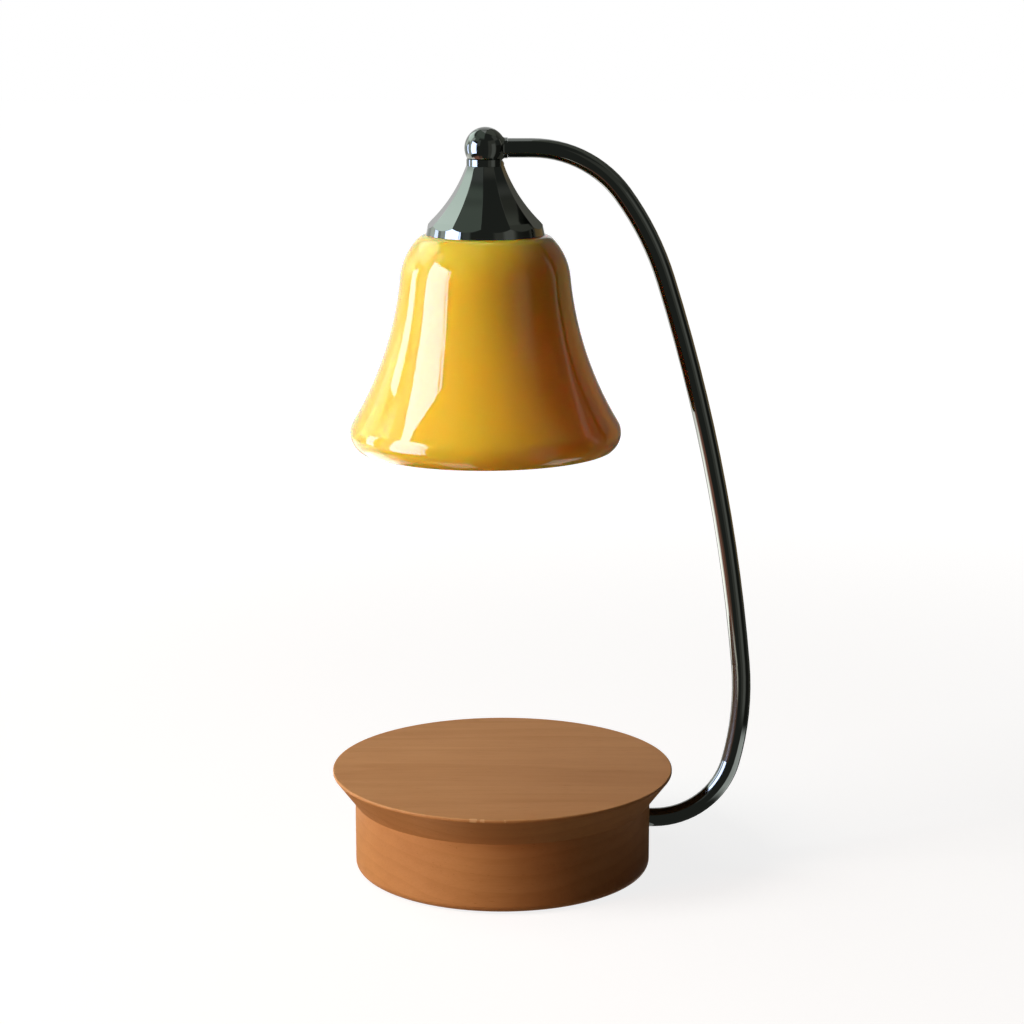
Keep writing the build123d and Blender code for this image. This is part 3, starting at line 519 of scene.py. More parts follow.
@dataclass(frozen=True)
class OiledWood(Finish):
    """Flat-sawn wood with a satin oil, its grain along X.

    Attributes:
        pale: Colour of the early wood.
        deep: Colour of the late wood.
        worn_and_lit: Colour where the top edge is sanded through, and of the painted highlight
            along that edge.
        ring_middle: Where the middle of the tree lay, as Y and Z.
        ring_pitch: Width of a year's growth.
        ring_wander: How far the growth rings wander.
        late_rise: How sharply a year turns to late wood.
        late_share: How much the late wood darkens.
        part_shares: How much fibres, streaks and clouds darken or lighten.
        middle_tone: The wood's tone between pale and deep where nothing changes it.
        pore_share: How much the pores darken.
        polish: Roughness of the pale wood.
        dulling: Roughness that the deep wood adds, and the bared edge.
        shine: The shader's specular level.
        relief: Depth of the grain.
        edge_radius: Radius of the top edge from the base's axis.
        edge_height: Height of the top edge.
        rub_and_highlight: Distances from the top edge where its pale line, partly rubbed wear and
            partly a painted highlight, starts and where it is full.
        rub_highlight_share: How far that pale line, rubbed wear and painted highlight, lightens the
            wood.
        chips: The edge's chips, as X and size.
        chip_depth: Distances from the top edge where a chip starts and where it is full.
        chip_spread: The same from its middle, each a length and a share of its size.
        ragged: How far noise shifts the pale edge line, and the chips.
    """

    pale: Colour
    deep: Colour
    worn_and_lit: Colour
    ring_middle: Span = (-0.018, -0.105)
    ring_pitch: float = 0.0062
    ring_wander: float = 0.012
    late_rise: float = 2.2
    late_share: float = 0.16
    part_shares: tuple[float, float, float] = (0.30, 0.42, 0.26)
    middle_tone: float = 0.30
    pore_share: float = 0.35
    polish: float = 0.46
    dulling: Span = (0.14, 0.2)
    shine: float = 0.07
    relief: float = 0.00004
    edge_radius: float = 0.0729
    edge_height: float = 0.0441
    rub_and_highlight: Span = (0.0013, 0.0005)
    rub_highlight_share: float = 0.36
    chips: tuple[Span, ...] = ((-0.0117, 0.0034), (-0.0079, 0.0021), (0.0012, 0.0014))
    chip_depth: Span = (0.0014, 0.0008)
    chip_spread: tuple[Span, Span] = ((0.0009, 0.55), (0.0006, 0.4))
    ragged: Span = (0.0011, 0.0016)

    def paint(self, tree: ShaderTree) -> Inputs:
        """Lays growth rings, fibres and pores along X, and paints a pale line along the top edge
        that is partly bared wood and partly a painted highlight.

        Args:
            tree: The material's tree.

        Returns:
            The shader's inputs by name.
        """
        place = tree.place()
        y, z = tree.split(place)[1:]
        ring_y = tree.minus(y, self.ring_middle[0])
        ring_z = tree.minus(z, self.ring_middle[1])
        around = tree.join(0.0, ring_y, ring_z)
        wander = tree.noise(place, 32.0, stretch=(0.16, 1.0, 1.0))
        radius = tree.plus(tree.vector("LENGTH", around), tree.times(wander, self.ring_wander))
        year = tree.math("FRACT", tree.math("DIVIDE", radius, self.ring_pitch))
        late = tree.times(tree.math("POWER", year, self.late_rise), tree.remap(year, 1.0, 0.9))
        fibre = tree.noise(place, 1500.0, detail=4.0, stretch=(0.03, 1.0, 1.0))
        streak = tree.noise(place, 170.0, detail=3.0, stretch=(0.07, 1.0, 1.0))
        cloud = Mottle.put(tree, place=place, scale=22.0, contrast=1.5)[0]
        tone = tree.times(late, self.late_share)
        for part, share in zip((fibre, streak, cloud), self.part_shares):
            tone = tree.plus(tone, tree.times(tree.minus(part, 0.5), share))
        tone = tree.plus(tone, self.middle_tone, clamp=True)
        open_pores = tree.noise(place, 2600.0, detail=1.0, stretch=(0.05, 1.0, 1.0))
        pores = tree.remap(open_pores, 0.66, 0.8)
        wood = tree.mix(tone, self.pale, self.deep)
        wood = tree.mix(tree.times(pores, self.pore_share), wood, self.deep, blend="MULTIPLY")
        # edge: pale line along the top edge, partly rubbed wear and partly a painted highlight,
        # with a few chips
        edge = self.edge_wear_and_highlight(tree, place)
        gloss = tree.plus(tree.times(tone, self.dulling[0]), self.polish)
        grain = tree.minus(tree.times(fibre, 0.6), tree.times(pores, 0.8))
        return {
            "Base Color": tree.mix(edge, wood, self.worn_and_lit),
            "Roughness": tree.plus(gloss, tree.times(edge, self.dulling[1])),
            "Specular IOR Level": self.shine,
            "Normal": tree.bump(tree.minus(grain, edge), self.relief),
        }

    def edge_wear_and_highlight(self, tree: ShaderTree, place: Socket) -> Socket:
        """Masks the pale line of the top edge, partly rubbed wear and partly a painted highlight,
        and its few chips.

        Args:
            tree: The material's tree.
            place: The place.

        Returns:
            The mask of bared wood and painted highlight.
        """
        x, y, z = tree.split(place)
        beyond = tree.minus(tree.vector("LENGTH", tree.join(x, y, 0.0)), self.edge_radius)
        above = tree.minus(z, self.edge_height)
        away = tree.vector("LENGTH", tree.join(beyond, above, 0.0))
        shift = tree.times(tree.noise(place, 420.0, detail=3.0), self.ragged[0])
        # The pale line round the top edge is partly rubbed wear and partly a painted highlight
        # where the rounded edge catches light.
        mask = tree.remap(tree.plus(away, shift), *self.rub_and_highlight, (0.0, self.rub_highlight_share))
        near = tree.remap(away, *self.chip_depth)
        tear = tree.times(tree.noise(place, 900.0, detail=3.0), self.ragged[1])
        for side, size in self.chips:
            front = -math.sqrt(self.edge_radius**2 - side**2)
            spot = tree.vector("DISTANCE", place, (side, front, self.edge_height))
            start, full = (length + size * share for length, share in self.chip_spread)
            chip = tree.remap(tree.plus(spot, tear), start, full)
            mask = tree.math("MAXIMUM", mask, tree.times(chip, near))
        return mask


@dataclass(frozen=True)
class DarkChrome(Finish):
    """Bright plating with a dark green-black tone.

    Attributes:
        tone: Colour of the plating.
        warm: The tone where the plating is a little thinner.
        polish: Roughness of the clean plating.
        smear: Roughness that smears add.
        scratch: Roughness that hairlines add.
        ripple: Depth of the plating's unevenness.
    """

    tone: Colour
    warm: Colour
    polish: float = 0.035
    smear: float = 0.045
    scratch: float = 0.08
    ripple: float = 0.0000012

    def paint(self, tree: ShaderTree) -> Inputs:
        """Keeps the mirror clean, but for faint smears and hairlines.

        Args:
            tree: The material's tree.

        Returns:
            The shader's inputs by name.
        """
        place = tree.place()
        cloud, fine = Mottle.put(tree, place=place, scale=45.0, contrast=1.4)
        lines = Hairlines.put(tree, place=place, scale=70.0, width=0.006)[0]
        smears = tree.times(tree.math("POWER", cloud, 2.0), self.smear)
        return {
            "Base Color": tree.mix(cloud, self.tone, self.warm),
            "Roughness": tree.plus(tree.plus(smears, self.polish), tree.times(lines, self.scratch)),
            "Metallic": 1.0,
            "Normal": tree.bump(fine, self.ripple),
        }


@dataclass(frozen=True)
class CasedGlass(Finish):
    """Blown glass, coloured outside over a pale opal layer inside.

    Attributes:
        outside: Colour of the outer layer.
        thick: The outer colour where the glass is thickest.
        opal: Colour of the inner layer.
        bell_middle: A point inside the bell, from which every outer face looks away.
        polish: Roughness of the clean glass.
        smear: Roughness that smears add.
        scatter_share: Share of the light that goes into the glass and spreads.
        scatter_ways: How far red, green and blue light spreads, against each other.
        scatter_reach: How far red light spreads.
        ripple: Depth of the blown glass's ripple.
    """

    settings = {"subsurface_method": "BURLEY"}
    outside: Colour
    thick: Colour
    opal: Colour
    bell_middle: Point
    polish: float = 0.012
    smear: float = 0.02
    scatter_share: float = 0.9
    scatter_ways: Colour = (1.0, 0.16, 0.04)
    scatter_reach: float = 0.028
    ripple: float = 0.00012

    def paint(self, tree: ShaderTree) -> Inputs:
        """Colours the two layers apart, and ripples the outside as blown glass does.

        Args:
            tree: The material's tree.

        Returns:
            The shader's inputs by name.
        """
        place = tree.place()
        from_middle = tree.vector("SUBTRACT", place, self.bell_middle)
        outward = tree.vector("DOT_PRODUCT", from_middle, tree.facing())
        cloud = Mottle.put(tree, place=place, scale=16.0, contrast=0.8)[0]
        amber = tree.mix(cloud, self.outside, self.thick)
        opal = tree.mix(tree.times(cloud, 0.2), self.opal, self.outside)
        ripple = tree.noise(place, 26.0, detail=1.0, stretch=(1.0, 1.0, 0.35))
        return {
            "Base Color": tree.mix(tree.remap(outward, -0.001, 0.001), opal, amber),
            "Roughness": tree.plus(tree.times(cloud, self.smear), self.polish),
            "IOR": 1.5,
            "Subsurface Weight": self.scatter_share,
            "Subsurface Radius": self.scatter_ways,
            "Subsurface Scale": self.scatter_reach,
            "Normal": tree.bump(ripple, self.ripple),
        }


@dataclass(frozen=True)
class ClearGlass(Finish):
    """Clear pressed glass.

    Attributes:
        tint: Colour that the glass passes.
        clean: Colour that it passes where it is thinnest.
        smear: Roughness that smears add.
        ripple: Depth of the pressed ripple.
    """

    tint: Colour
    clean: Colour = (1.0, 1.0, 1.0)
    smear: float = 0.05
    ripple: float = 0.00003

    def paint(self, tree: ShaderTree) -> Inputs:
        """Lets light through, with slight smears and a pressed ripple.

        Args:
            tree: The material's tree.

        Returns:
            The shader's inputs by name.
        """
        place = tree.place()
        cloud = Mottle.put(tree, place=place, scale=90.0, contrast=1.5)[0]
        return {
            "Base Color": tree.mix(cloud, self.tint, self.clean),
            "Roughness": tree.times(cloud, self.smear),
            "IOR": 1.47,
            "Transmission Weight": 1.0,
            "Normal": tree.bump(tree.noise(place, 240.0, detail=1.0), self.ripple),
        }


@dataclass(frozen=True)
class SilveredGlass(Finish):
    """Mirror coat of the bulb's reflector.

    Attributes:
        silver: Colour of the coat.
        tarnish: The coat where it is thin.
        polish: Roughness of the clean coat.
        clouding: Roughness that thin spots add.
        pitting: Roughness that pinholes add.
        ripple: Depth of the glass's unevenness.
    """

    silver: Colour
    tarnish: Colour
    polish: float = 0.05
    clouding: float = 0.08
    pitting: float = 0.2
    ripple: float = 0.000004

    def paint(self, tree: ShaderTree) -> Inputs:
        """Silvers the glass, with cloudy thin spots and pinholes.

        Args:
            tree: The material's tree.

        Returns:
            The shader's inputs by name.
        """
        place = tree.place()
        cloud, fine = Mottle.put(tree, place=place, scale=60.0, contrast=1.4)
        pits = Specks.put(tree, place=place, scale=650.0, size=0.16)[0]
        coat = tree.mix(cloud, self.silver, self.tarnish)
        gloss = tree.plus(tree.times(cloud, self.clouding), self.polish)
        return {
            "Base Color": tree.mix(tree.times(pits, 0.4), coat, self.tarnish),
            "Roughness": tree.plus(gloss, tree.times(pits, self.pitting)),
            "Metallic": 1.0,
            "Normal": tree.bump(fine, self.ripple),
        }


@dataclass(frozen=True)
class WorkedMetal(Finish):
    """Bare or plated metal with lay lines and handling marks.

    Attributes:
        light: Colour of the clean metal.
        dark: Colour in its dull patches.
        gloss: Roughness from the shiny to the dull patches.
        pitch: Distance between lay lines.
        relief: Depth of the lay lines.
        pits: How strongly cast pits show, from 0 to 1.
    """

    light: Colour
    dark: Colour
    gloss: Span
    pitch: float = 0.0003
    relief: float = 0.000006
    pits: float = 0.0

    def paint(self, tree: ShaderTree) -> Inputs:
        """Mixes dull patches, lay lines, hairlines and pits.

        Args:
            tree: The material's tree.

        Returns:
            The shader's inputs by name.
        """
        place = tree.place()
        cloud = Mottle.put(tree, place=place, scale=150.0, contrast=2.0)[0]
        lay = TurningLines.put(tree, place=place, pitch=self.pitch)[0]
        lines = Hairlines.put(tree, place=place, scale=160.0, width=0.014)[0]
        sunk = tree.times(Specks.put(tree, place=place, scale=700.0, size=0.45)[0], self.pits)
        dull = tree.plus(tree.times(cloud, 0.7), tree.times(lay, 0.3))
        colour = tree.mix(tree.math("MAXIMUM", dull, sunk), self.light, self.dark)
        height = tree.minus(tree.minus(lay, lines), tree.times(sunk, 3.0))
        return {
            "Base Color": tree.mix(tree.times(lines, 0.3), colour, self.light),
            "Roughness": tree.remap(dull, 0.0, 1.0, self.gloss),
            "Metallic": 1.0,
            "Normal": tree.bump(height, self.relief),
        }


@dataclass(frozen=True)
class Moulded(Finish):
    """Moulded, fired or sprayed material that isn't metal.

    Attributes:
        light: Lighter colour.
        dark: Darker colour.
        gloss: Roughness of its shiny and dull patches.
        scale: How close its patches lie.
        skin: Depth of the fine unevenness of its skin.
        skin_scale: How close that unevenness lies.
        speck: Colour of its specks.
        speck_share: How strongly the specks show.
        coat: Strength of a clear coat.
        coat_gloss: Roughness of the clear coat.
        dust: Colour of the dust on it.
        dust_share: How strongly dust shows on faces that look up.
        scratch: Roughness that rubbed lines add.
    """

    light: Colour
    dark: Colour
    gloss: Span
    scale: float = 80.0
    skin: float = 0.00001
    skin_scale: float = 900.0
    speck: Colour = (0.3, 0.28, 0.25)
    speck_share: float = 0.0
    coat: float = 0.0
    coat_gloss: float = 0.12
    dust: Colour = (0.55, 0.52, 0.48)
    dust_share: float = 0.08
    scratch: float = 0.12

    def paint(self, tree: ShaderTree) -> Inputs:
        """Mixes patches, specks, dust, rubbed lines and an uneven skin.

        Args:
            tree: The material's tree.

        Returns:
            The shader's inputs by name.
        """
        place = tree.place()
        cloud = Mottle.put(tree, place=place, scale=self.scale, contrast=1.8)[0]
        specks = Specks.put(tree, place=place, scale=1100.0, size=0.3)[0]
        dust = SettledDust.put(tree, place=place, facing=tree.facing())[0]
        lines = Hairlines.put(tree, place=place, scale=120.0, width=0.012)[0]
        colour = tree.mix(cloud, self.light, self.dark)
        colour = tree.mix(tree.times(specks, self.speck_share), colour, self.speck)
        gloss = tree.remap(cloud, 0.0, 1.0, self.gloss)
        skin = tree.noise(place, self.skin_scale, detail=3.0)
        return {
            "Base Color": tree.mix(tree.times(dust, self.dust_share), colour, self.dust),
            "Roughness": tree.plus(gloss, tree.times(lines, self.scratch)),
            "Coat Weight": self.coat,
            "Coat Roughness": self.coat_gloss,
            "Normal": tree.bump(tree.minus(skin, tree.times(lines, 0.5)), self.skin),
        }


@dataclass(frozen=True)
class Felt(Finish):
    """Pressed wool felt.

    Attributes:
        light: Colour of the loose fibres.
        dark: Colour between them.
        gloss: Roughness from its loose to its matted patches.
        fibre_scale: How close the fibres lie.
        fibre_curl: How much they are twisted.
        sheen: Strength of the sheen of the loose fibres.
        sheen_gloss: Roughness of the sheen.
        nap: Depth of the fibres.
    """

    light: Colour
    dark: Colour
    gloss: Span = (0.88, 1.0)
    fibre_scale: float = 1900.0
    fibre_curl: float = 1.5
    sheen: float = 0.35
    sheen_gloss: float = 0.5
    nap: float = 0.0003

    def paint(self, tree: ShaderTree) -> Inputs:
        """Tangles fibres in two directions and mats them in patches.

        Args:
            tree: The material's tree.

        Returns:
            The shader's inputs by name.
        """
        place = tree.place()
        long_fibres, cross_fibres = (
            tree.noise(place, self.fibre_scale, 4.0, self.fibre_curl, stretch=drawn)
            for drawn in ((0.25, 1.0, 1.0), (1.0, 0.25, 1.0))
        )
        fibres = tree.math("MAXIMUM", long_fibres, cross_fibres)
        patches = Mottle.put(tree, place=place, scale=55.0, contrast=2.0)[0]
        tone = tree.plus(tree.times(fibres, 0.7), tree.times(patches, 0.3))
        return {
            "Base Color": tree.mix(tone, self.dark, self.light),
            "Roughness": tree.remap(patches, 0.0, 1.0, self.gloss),
            "Sheen Weight": self.sheen,
            "Sheen Roughness": self.sheen_gloss,
            "Normal": tree.bump(fibres, self.nap),
        }


# worn: colour of the sanded-through edge and of the painted highlight along it
WOOD = OiledWood(
    "wood", pale=(0.65, 0.325, 0.115), deep=(0.42, 0.182, 0.053), worn_and_lit=(0.74, 0.45, 0.21)
)
DARK_CHROME = DarkChrome("dark_chrome", tone=(0.118, 0.130, 0.121), warm=(0.132, 0.140, 0.128))
AMBER_GLASS = CasedGlass(
    "amber_glass",
    outside=(0.92, 0.70, 0.052),
    thick=(0.90, 0.66, 0.044),
    opal=(0.86, 0.82, 0.70),
    bell_middle=(BALL_CENTRE[0], 0.0, 0.222),
)
CLEAR_GLASS = ClearGlass("clear_glass", tint=(0.93, 0.96, 0.95))
REFLECTOR = SilveredGlass("reflector", silver=(0.90, 0.89, 0.86), tarnish=(0.74, 0.72, 0.70))
CERAMIC = Moulded(
    "ceramic",
    light=(0.84, 0.81, 0.74),
    dark=(0.74, 0.70, 0.62),
    gloss=(0.5, 0.7),
    speck_share=0.3,
    skin=0.00003,
)
BRASS = WorkedMetal("brass", light=(0.80, 0.60, 0.28), dark=(0.55, 0.36, 0.14), gloss=(0.2, 0.42))
PIN_STEEL = WorkedMetal(
    "pin_steel", light=(0.74, 0.74, 0.73), dark=(0.52, 0.52, 0.51), gloss=(0.16, 0.34)
)
ZINC_STEEL = WorkedMetal(
    "zinc_steel", light=(0.66, 0.68, 0.70), dark=(0.44, 0.46, 0.48), gloss=(0.28, 0.5)
)
BALLAST_IRON = WorkedMetal(
    "ballast_iron",
    light=(0.20, 0.20, 0.21),
    dark=(0.09, 0.09, 0.095),
    gloss=(0.55, 0.8),
    pitch=0.0011,
    relief=0.00006,
    pits=0.8,
)
WHITE_METAL = Moulded(
    "white_metal",
    light=(0.84, 0.83, 0.80),
    dark=(0.77, 0.75, 0.71),
    gloss=(0.24, 0.36),
    coat=0.4,
    skin=0.000012,
)
FELT = Felt("felt", light=(0.055, 0.053, 0.052), dark=(0.012, 0.012, 0.013))
BLACK_PLASTIC = Moulded(
    "black_plastic",
    light=(0.035, 0.035, 0.036),
    dark=(0.018, 0.018, 0.019),
    gloss=(0.42, 0.6),
    skin=0.00002,
    dust_share=0.2,
)
WHITE_PLASTIC = Moulded(
    "white_plastic", light=(0.80, 0.79, 0.74), dark=(0.70, 0.68, 0.61), gloss=(0.4, 0.55)
)
SILICONE = Moulded(
    "silicone", light=(0.78, 0.77, 0.74), dark=(0.66, 0.64, 0.60), gloss=(0.5, 0.68)
)
WIRE_INSULATION = Moulded(
    "wire_insulation",
    light=(0.72, 0.70, 0.65),
    dark=(0.60, 0.57, 0.51),
    gloss=(0.45, 0.6),
    scale=40.0,
)


# ------------------------------ Meshes ------------------------------


def place_mesh(
    name: str, shape: bmesh.types.BMesh, material: bpy.types.Material
) -> bpy.types.Object:
    """Turns a bmesh into an object of the scene.

    Args:
        name: Name of the object and its mesh.
        shape: Its shape; freed here.
        material: Its material.

    Returns:
        The new object.
    """
    mesh = bpy.data.meshes.new(name)
    shape.to_mesh(mesh)
    shape.free()
    mesh.materials.append(material)
    made = bpy.data.objects.new(name, mesh)
    bpy.context.scene.collection.objects.link(made)
    return made


def new_piece(name: str, shape: bmesh.types.BMesh, finish: Finish, body: Body) -> None:
    """Turns a bmesh into a dressed piece on its body.

    Args:
        name: The piece's name.
        shape: Its shape; freed here.
        finish: Its finish.
        body: The body that it rides on.
    """
    bmesh.ops.recalc_face_normals(shape, faces=shape.faces[:])
    piece = place_mesh(name, shape, finish.material())
    piece.data.shade_smooth()
    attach(piece, body.value)
    faces = len(piece.data.polygons)
    LOG.info("%s on %s in %s, %d faces", name, body.value, finish.slot, faces)


def ring_point(radius: float, angle: float, height: float) -> Vector:
    """Returns a point round the head's axis, measured from the middle of the ball."""
    return Vector((radius * math.cos(angle), radius * math.sin(angle), height))


def tube(path: list[Vector], radius: float, sides: int) -> bmesh.types.BMesh:
    """Sweeps a closed round tube along a line of points.

    Args:
        path: The points of its middle line.
        radius: The tube's radius.
        sides: How many sides its section has.

    Returns:
        The tube, with both ends capped.
    """
    made = bmesh.new()
    along = (path[1] - path[0]).normalized()
    across = along.orthogonal().normalized()
    rings = []
    for number, point in enumerate(path):
        before, after = path[max(number - 1, 0)], path[min(number + 1, len(path) - 1)]
        turned = (after - before).normalized()
        across = (along.rotation_difference(turned) @ across).normalized()
        along = turned
        other = along.cross(across)
        ring = []
        for side in range(sides):
            angle = side * math.tau / sides
            outward = across * math.cos(angle) + other * math.sin(angle)
            ring.append(made.verts.new(point + outward * radius))
        rings.append(ring)
    for lower, upper in zip(rings, rings[1:]):
        for side in range(sides):
            after = (side + 1) % sides
            made.faces.new((lower[side], lower[after], upper[after], upper[side]))
    made.faces.new(rings[0])
    made.faces.new(rings[-1])
    return made


# ------------------------------ Sub-assemblies ------------------------------


@dataclass
class SubAssembly:
    """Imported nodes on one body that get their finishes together.

    Attributes:
        body: The body that carries them.
        dressed: The nodes in each finish.
    """

    body: ClassVar[Body]
    dressed: ClassVar[dict[Finish, tuple[str, ...]]]

    def dress(self) -> None:
        """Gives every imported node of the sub-assembly its finish."""
        for finish, nodes in self.dressed.items():
            for node in nodes:
                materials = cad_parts[node].data.materials
                for number in range(len(materials)):
                    materials[number] = finish.material()
                LOG.info("%s on %s in %s", node, self.body.value, finish.slot)

    def build(self) -> None:
        """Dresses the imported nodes; a sub-assembly with pieces of its own adds them here."""
        self.dress()


class Base(SubAssembly):
    """Turned wood base with its ballast, plate, pad and cord fittings."""

    body = Body.STAND
    dressed = {
        WOOD: ("wood_base",),
        FELT: ("foot_pad",),
        BLACK_PLASTIC: ("bottom_plate", "cord_bush", "cord_anchor", "cord_strap"),
        BALLAST_IRON: ("ballast_plate",),
        WHITE_PLASTIC: ("terminal_block",),
        BRASS: ("terminal_inserts",),
        ZINC_STEEL: (
            "bottom_screws",
            "ballast_screws",
            "cord_strap_screws",
            "terminal_screws",
            "terminal_fixing_screw",
        ),
    }


class Arm(SubAssembly):
    """Bent tube, the clamp that holds its foot, and its wires."""

    body = Body.STAND
    dressed = {
        DARK_CHROME: ("arm_tube",),
        WIRE_INSULATION: ("arm_wires",),
        ZINC_STEEL: ("arm_clamp", "arm_clamp_screws", "arm_grub_screw"),
    }


class Knuckle(SubAssembly):
    """Ball at the end of the arm, with its cap."""

    body = Body.BALL
    dressed = {DARK_CHROME: ("knuckle_ball", "ball_cap")}


class Cup(SubAssembly):
    """Cup under the ball."""

    body = Body.SOCKET
    dressed = {DARK_CHROME: ("socket_cup",)}


class Head(SubAssembly):
    """Stem and nuts, canopy, glass bell, holder and the ring that clamps the glass."""

    body = Body.HEAD
    dressed = {
        DARK_CHROME: ("canopy",),
        AMBER_GLASS: ("glass_shade",),
        SILICONE: ("upper_gasket", "lower_gasket"),
        WHITE_METAL: ("shade_ring", "holder_housing"),
        CERAMIC: ("lamp_holder",),
        BRASS: ("holder_contacts",),
        WIRE_INSULATION: ("head_wires",),
        ZINC_STEEL: (
            "swivel_stem",
            "pressure_washer",
            "spring_washer",
            "tension_nut",
            "housing_nut",
            "holder_screws",
        ),
    }


@dataclass
class Bulb(SubAssembly):
    """Halogen reflector bulb, with its filament and the facets of its mirror.

    Heights are from the middle of the ball.

    Attributes:
        coil_radius: Radius of the filament's coil.
        coil_wire: Radius of the filament's wire.
        coil_turns: Number of its turns.
        coil_steps: Points in a turn.
        coil_top: Height of the coil's top.
        coil_foot: Height of its foot.
        wire_sides: Sides of the wire's section.
        lead_gap: Distance of a lead wire from the axis.
        lead_top: Height where the leads go into the pinch.
        lead_ends: How far above the coil's top and foot the leads turn to it.
        facet_rows: Rows of facets down the mirror.
        facets_round: Facets in a row.
        facet_steps: Steps across a facet.
        facet_crown: How far the middle of a facet stands proud.
        liner_back: Distance of the liner's back from the inside of the glass.
        liner_face: Distance of its face.
        mirror_top: Height of the mirror's narrow end.
        mirror_foot: Height of its wide end.
        neck_radius: Outer radius of the glass where its bowl starts.
        neck_height: Height of that place.
        bowl: How fast the bowl opens, as the growth of its radius squared over its depth.
        glass_wall: Thickness of the bulb's glass.
    """

    body = Body.BULB
    dressed = {
        PIN_STEEL: ("bulb_pins",),
        CERAMIC: ("bulb_cap",),
        REFLECTOR: ("bulb_reflector",),
        CLEAR_GLASS: ("bulb_lens", "bulb_capsule"),
    }
    coil_radius: float = 0.75 * MM
    coil_wire: float = 0.14 * MM
    coil_turns: int = 13
    coil_steps: int = 16
    coil_top: float = -53.0 * MM
    coil_foot: float = -60.0 * MM
    wire_sides: int = 8
    lead_gap: float = 2.1 * MM
    lead_top: float = -44.0 * MM
    lead_ends: Span = (1.5 * MM, 1.0 * MM)
    facet_rows: int = 9
    facets_round: int = 26
    facet_steps: int = 4
    facet_crown: float = 0.28 * MM
    liner_back: float = 0.10 * MM
    liner_face: float = 0.22 * MM
    mirror_top: float = -46.0 * MM
    mirror_foot: float = -76.6 * MM
    neck_radius: float = 9.0 * MM
    neck_height: float = -42.0 * MM
    bowl: float = 16.0 * MM
    glass_wall: float = 1.5 * MM

    def build(self) -> None:
        """Dresses the bulb's nodes and adds its filament and facets."""
        self.dress()
        new_piece("bulb_filament", self.filament(), PIN_STEEL, self.body)
        new_piece("bulb_mirror_facets", self.facets(), REFLECTOR, self.body)

    def filament(self) -> bmesh.types.BMesh:
        """Runs one wire down a lead, round the coil and up the other lead.

        Returns:
            The wire.
        """
        steps = self.coil_turns * self.coil_steps
        path = [
            Vector((-self.lead_gap, 0.0, self.lead_top)),
            Vector((-self.lead_gap, 0.0, self.coil_top + self.lead_ends[0])),
        ]
        for step in range(steps + 1):
            share = step / steps
            height = self.coil_top + (self.coil_foot - self.coil_top) * share
            angle = math.pi + share * self.coil_turns * math.tau
            path.append(ring_point(self.coil_radius, angle, height))
        path.append(Vector((self.lead_gap, 0.0, self.coil_foot + self.lead_ends[1])))
        path.append(Vector((self.lead_gap, 0.0, self.lead_top)))
        middle = Vector(BALL_CENTRE)
        return tube([middle + point for point in path], self.coil_wire, self.wire_sides)

    def mirror_radius(self, height: float) -> float:
        """Returns the inner radius of the bulb's glass at a height."""
        outer = math.sqrt(self.neck_radius**2 + self.bowl * (self.neck_height - height))
        return outer - self.glass_wall

    def liner_ring(
        self, made: bmesh.types.BMesh, row: int, offset: float, crown: float
    ) -> list[bmesh.types.BMVert]:
        """Adds one ring of the liner's points.

        Args:
            made: The liner.
            row: The ring's number, from the mirror's narrow end.
            offset: Distance of the ring from the inside of the glass.
            crown: How far the middle of a facet stands proud.

        Returns:
            The ring's points.
        """
        steps = self.facet_steps
        columns = self.facets_round * steps
        share = row / (self.facet_rows * steps)
        height = self.mirror_top + (self.mirror_foot - self.mirror_top) * share
        ring = []
        for column in range(columns):
            bulge = abs(math.sin(math.pi * row / steps)) * abs(math.sin(math.pi * column / steps))
            radius = self.mirror_radius(height) - offset - crown * bulge
            point = ring_point(radius, column * math.tau / columns, height)
            ring.append(made.verts.new(Vector(BALL_CENTRE) + point))
        return ring

    def facets(self) -> bmesh.types.BMesh:
        """Builds a thin silvered liner whose face is a net of crowned facets.

        Returns:
            The liner, closed all round.
        """
        made = bmesh.new()
        rows = range(self.facet_rows * self.facet_steps + 1)
        back = [self.liner_ring(made, row, self.liner_back, 0.0) for row in rows]
        face = [self.liner_ring(made, row, self.liner_face, self.facet_crown) for row in rows]
        ends = [(back[0], face[0]), (back[-1], face[-1])]
        for first, second in (*zip(back, back[1:]), *zip(face, face[1:]), *ends):
            for column in range(len(first)):
                after = (column + 1) % len(first)
                made.faces.new((first[column], first[after], second[after], second[column]))
        return made


# ------------------------------ Studio ------------------------------


def direction(azimuth: float, elevation: float) -> Vector:
    """Returns the unit vector towards an azimuth and an elevation in degrees.

    Args:
        azimuth: 0 at the front and + to the right.
        elevation: + upwards.

    Returns:
        The vector.
    """
    turn, rise = math.radians(azimuth), math.radians(elevation)
    level = math.cos(rise)
    return Vector((math.sin(turn) * level, -math.cos(turn) * level, math.sin(rise)))


def glossy_card(name: str, shape: bmesh.types.BMesh) -> ShaderTree:
    """Turns a bmesh into a card that only glossy rays see.

    Args:
        name: The card's name.
        shape: Its shape; freed here.

    Returns:
        The tree of its material, still empty.
    """
    material = bpy.data.materials.new(name)
    card = place_mesh(name, shape, material)
    for ray in ("camera", "diffuse", "transmission", "volume_scatter", "shadow"):
        setattr(card, "visible_" + ray, False)
    return ShaderTree.blank(material)


@dataclass(frozen=True)
class ReflectedPanel:
    """A bright card that only glossy surfaces see, such as a window.

    Attributes:
        name: The card's name.
        glow: Its brightness in red, green and blue.
        strength: Multiplies the brightness.
        corners: Its outline, as azimuth and elevation seen from the shade.
        distance: Its distance from the shade's axis.
    """

    name: str
    glow: Colour
    strength: float
    corners: tuple[Span, ...]
    distance: float = 0.75

    def build(self, middle: Vector) -> None:
        """Makes the card.

        Args:
            middle: The point that its outline is seen from.
        """
        made = bmesh.new()
        points = [middle + direction(*corner) * self.distance for corner in self.corners]
        made.faces.new([made.verts.new(point) for point in points])
        glossy_card(self.name, made).emit(self.glow, self.strength)


